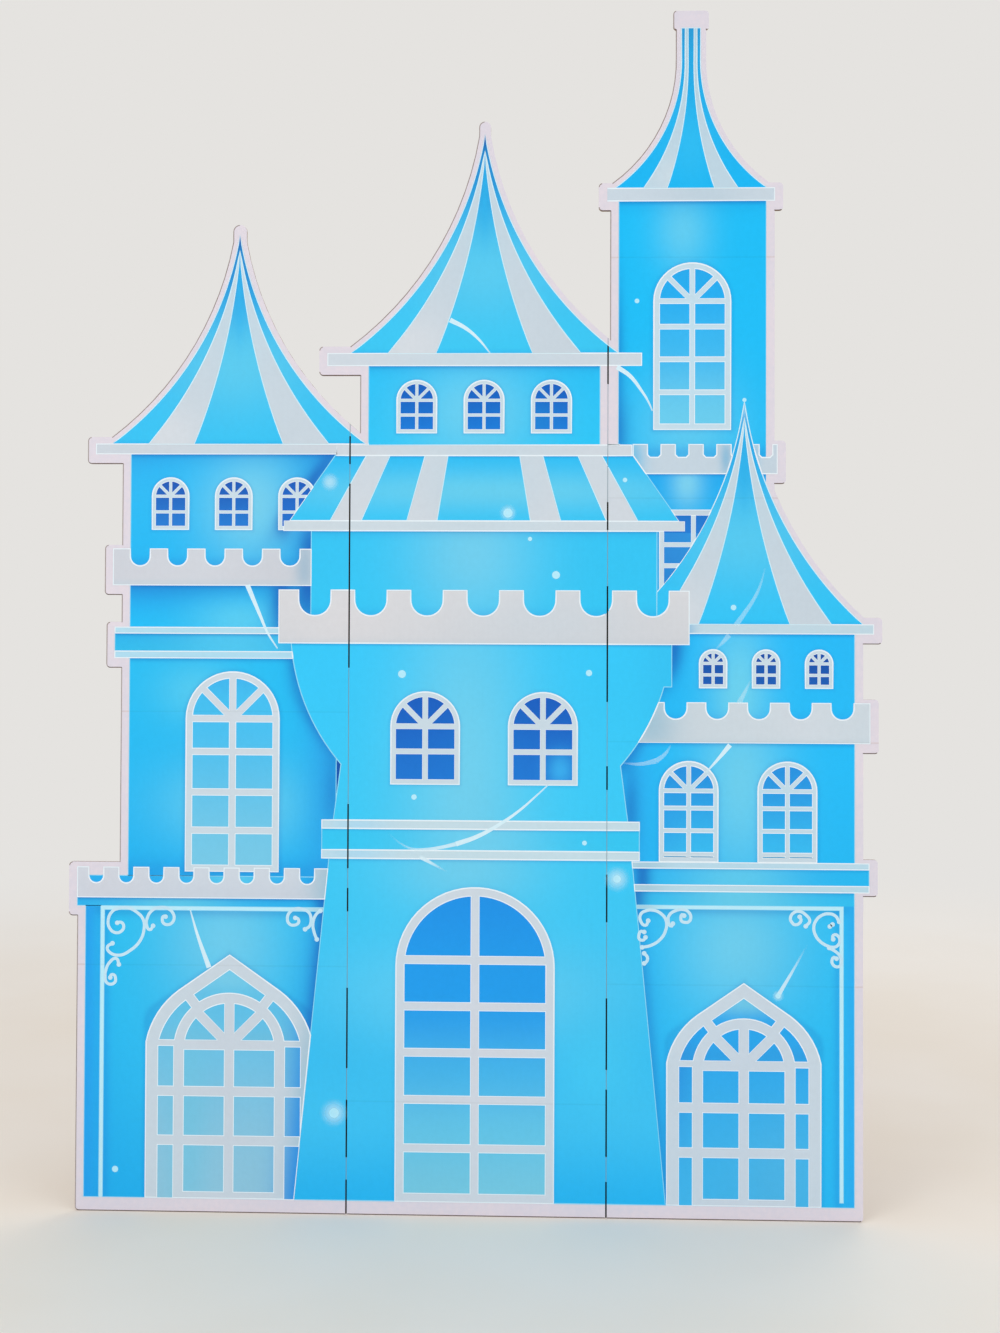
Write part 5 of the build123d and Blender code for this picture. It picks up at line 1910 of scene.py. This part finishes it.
@dataclass
class Studio:
    """Floor, light and camera.

    The floor and the lamps are given in metres. The camera's numbers were fitted to the
    photograph: pixels for its lens and centre, degrees, and millimetres from the board.
    """

    background: Colour = ink(229, 227, 224)
    floor_colour: Colour = ink(243, 234, 220)
    floor_second: Colour = ink(246, 239, 228)
    floor_reach: float = 14.0
    floor_near: float = 1.1
    floor_far: float = 3.4
    cloud_scale: float = 1.4
    cloud_low: float = 0.3
    cloud_high: float = 0.7
    floor_roughness: float = 0.62
    floor_gloss: float = 0.1
    sky: Colour = ink(252, 252, 255)
    sky_strength: float = 0.74
    lamps: tuple[Lamp, ...] = (
        Lamp("key", 47.0, 2.6, (-2.6, -3.8, 2.0)),
        Lamp("fill", 28.0, 3.2, (3.1, -3.3, 1.6)),
        Lamp("back", 28.0, 3.0, (1.8, 3.2, 2.8)))
    aim: tuple[float, float, float] = (0.0, 0.0, 0.85)
    focal_pixels: float = 1727.0
    image_width: float = 1000.0
    image_height: float = 1333.0
    centre_u: float = 523.0
    centre_v: float = 561.0
    yaw: float = 1.901
    board_lean: float = 1.118
    roll: float = 0.162
    distance: float = 2600.0
    aside: float = -80.10
    below: float = -986.66
    board_shift: float = 2.2
    sensor: float = 36.0

    def lay_floor(self) -> None:
        """Lay the pale floor under the castle."""
        reach = self.floor_reach
        mesh = bpy.data.meshes.new("studio_floor")
        mesh.from_pydata([(-reach, -reach, 0), (reach, -reach, 0), (reach, reach, 0),
                          (-reach, reach, 0)], [], [(0, 1, 2, 3)])
        floor = bpy.data.objects.new("studio_floor", mesh)
        bpy.context.scene.collection.objects.link(floor)
        material, graph, surface = new_material("pale floor")
        place = graph.node("ShaderNodeTexCoord").outputs["Object"]
        cloud = graph.noise(place, self.cloud_scale)
        tone = graph.mix(graph.smooth(cloud, self.cloud_low, self.cloud_high),
                         self.floor_colour, self.floor_second)
        graph.feed(surface.inputs["Base Color"], tone)
        surface.inputs["Roughness"].default_value = self.floor_roughness
        surface.inputs["Specular IOR Level"].default_value = self.floor_gloss
        apart = graph.node("ShaderNodeVectorMath", operation="LENGTH")
        graph.feed(apart.inputs[0], place)
        plain = graph.node("ShaderNodeEmission")
        plain.inputs["Color"].default_value = self.background
        direct = graph.seen_directly()
        away = graph.smooth(apart.outputs["Value"], self.floor_near, self.floor_far)
        both = graph.node("ShaderNodeMixShader")
        graph.feed(both.inputs[0], graph.math("MULTIPLY", away, direct))
        graph.feed(both.inputs[1], surface.outputs[0])
        graph.feed(both.inputs[2], plain.outputs[0])
        output = next(node for node in graph.tree.nodes if node.type == "OUTPUT_MATERIAL")
        graph.feed(output.inputs["Surface"], both.outputs[0])
        mesh.materials.append(material)

    def light(self) -> None:
        """Set the even studio light and the pale surroundings."""
        world = bpy.data.worlds.new("studio")
        bpy.context.scene.world = world
        world.use_nodes = True
        graph = Graph(world.node_tree)
        lit = graph.node("ShaderNodeBackground")
        lit.inputs["Color"].default_value = self.sky
        lit.inputs["Strength"].default_value = self.sky_strength
        seen = graph.node("ShaderNodeBackground")
        seen.inputs["Color"].default_value = self.background
        direct = graph.seen_directly()
        both = graph.node("ShaderNodeMixShader")
        graph.feed(both.inputs[0], direct)
        graph.feed(both.inputs[1], lit.outputs[0])
        graph.feed(both.inputs[2], seen.outputs[0])
        output = graph.node("ShaderNodeOutputWorld")
        graph.feed(output.inputs["Surface"], both.outputs[0])
        for lamp in self.lamps:
            shine = bpy.data.lights.new(lamp.name, "AREA")
            shine.energy = lamp.power
            shine.shape = "DISK"
            shine.size = lamp.size
            stand = bpy.data.objects.new(lamp.name, shine)
            stand.location = lamp.place
            aim = Vector(self.aim) - Vector(lamp.place)
            stand.rotation_euler = aim.to_track_quat("-Z", "Y").to_euler()
            bpy.context.scene.collection.objects.link(stand)

    def place_camera(self) -> None:
        """Put the camera where the photograph was taken from."""
        lean = Matrix.Rotation(-math.radians(self.board_lean), 3, "X")
        yaw = Matrix.Rotation(-math.radians(self.yaw), 3, "Z")
        roll = Matrix.Rotation(math.radians(self.roll), 3, "Y")
        turn = roll @ yaw @ lean
        offset = Vector((self.aside, self.distance, self.below)) * MM
        back = turn.transposed()
        spot = -(back @ offset) + Vector((-self.board_shift * MM, CAD_LOW.y, 0.0))
        right, forward, up = (back @ Vector(axis) for axis in ((1, 0, 0), (0, 1, 0), (0, 0, 1)))
        camera = bpy.data.cameras.new("camera")
        camera.sensor_width = self.sensor
        camera.lens = self.focal_pixels * self.sensor / self.image_height
        camera.shift_x = -(self.centre_u - self.image_width / 2) / self.image_height
        camera.shift_y = (self.centre_v - self.image_height / 2) / self.image_height
        stand = bpy.data.objects.new("camera", camera)
        stand.matrix_world = Matrix((
            (right.x, up.x, -forward.x, spot.x),
            (right.y, up.y, -forward.y, spot.y),
            (right.z, up.z, -forward.z, spot.z),
            (0, 0, 0, 1)))
        bpy.context.scene.collection.objects.link(stand)
        bpy.context.scene.camera = stand


def main() -> None:
    """Dress the castle, light it and place the camera."""
    logging.basicConfig(level=logging.INFO, format="%(name)s %(message)s")
    bpy.context.scene.view_settings.view_transform = "Standard"
    structure = Structure()
    structure.dress()
    structure.draw_cut_shade_lines()
    castle = PrintedCastle()
    castle.dress()
    castle.draw_rims()
    Scrollwork().draw()
    Sparkles().draw()
    studio = Studio()
    studio.lay_floor()
    studio.light()
    studio.place_camera()


if __name__ == "__main__":
    main()
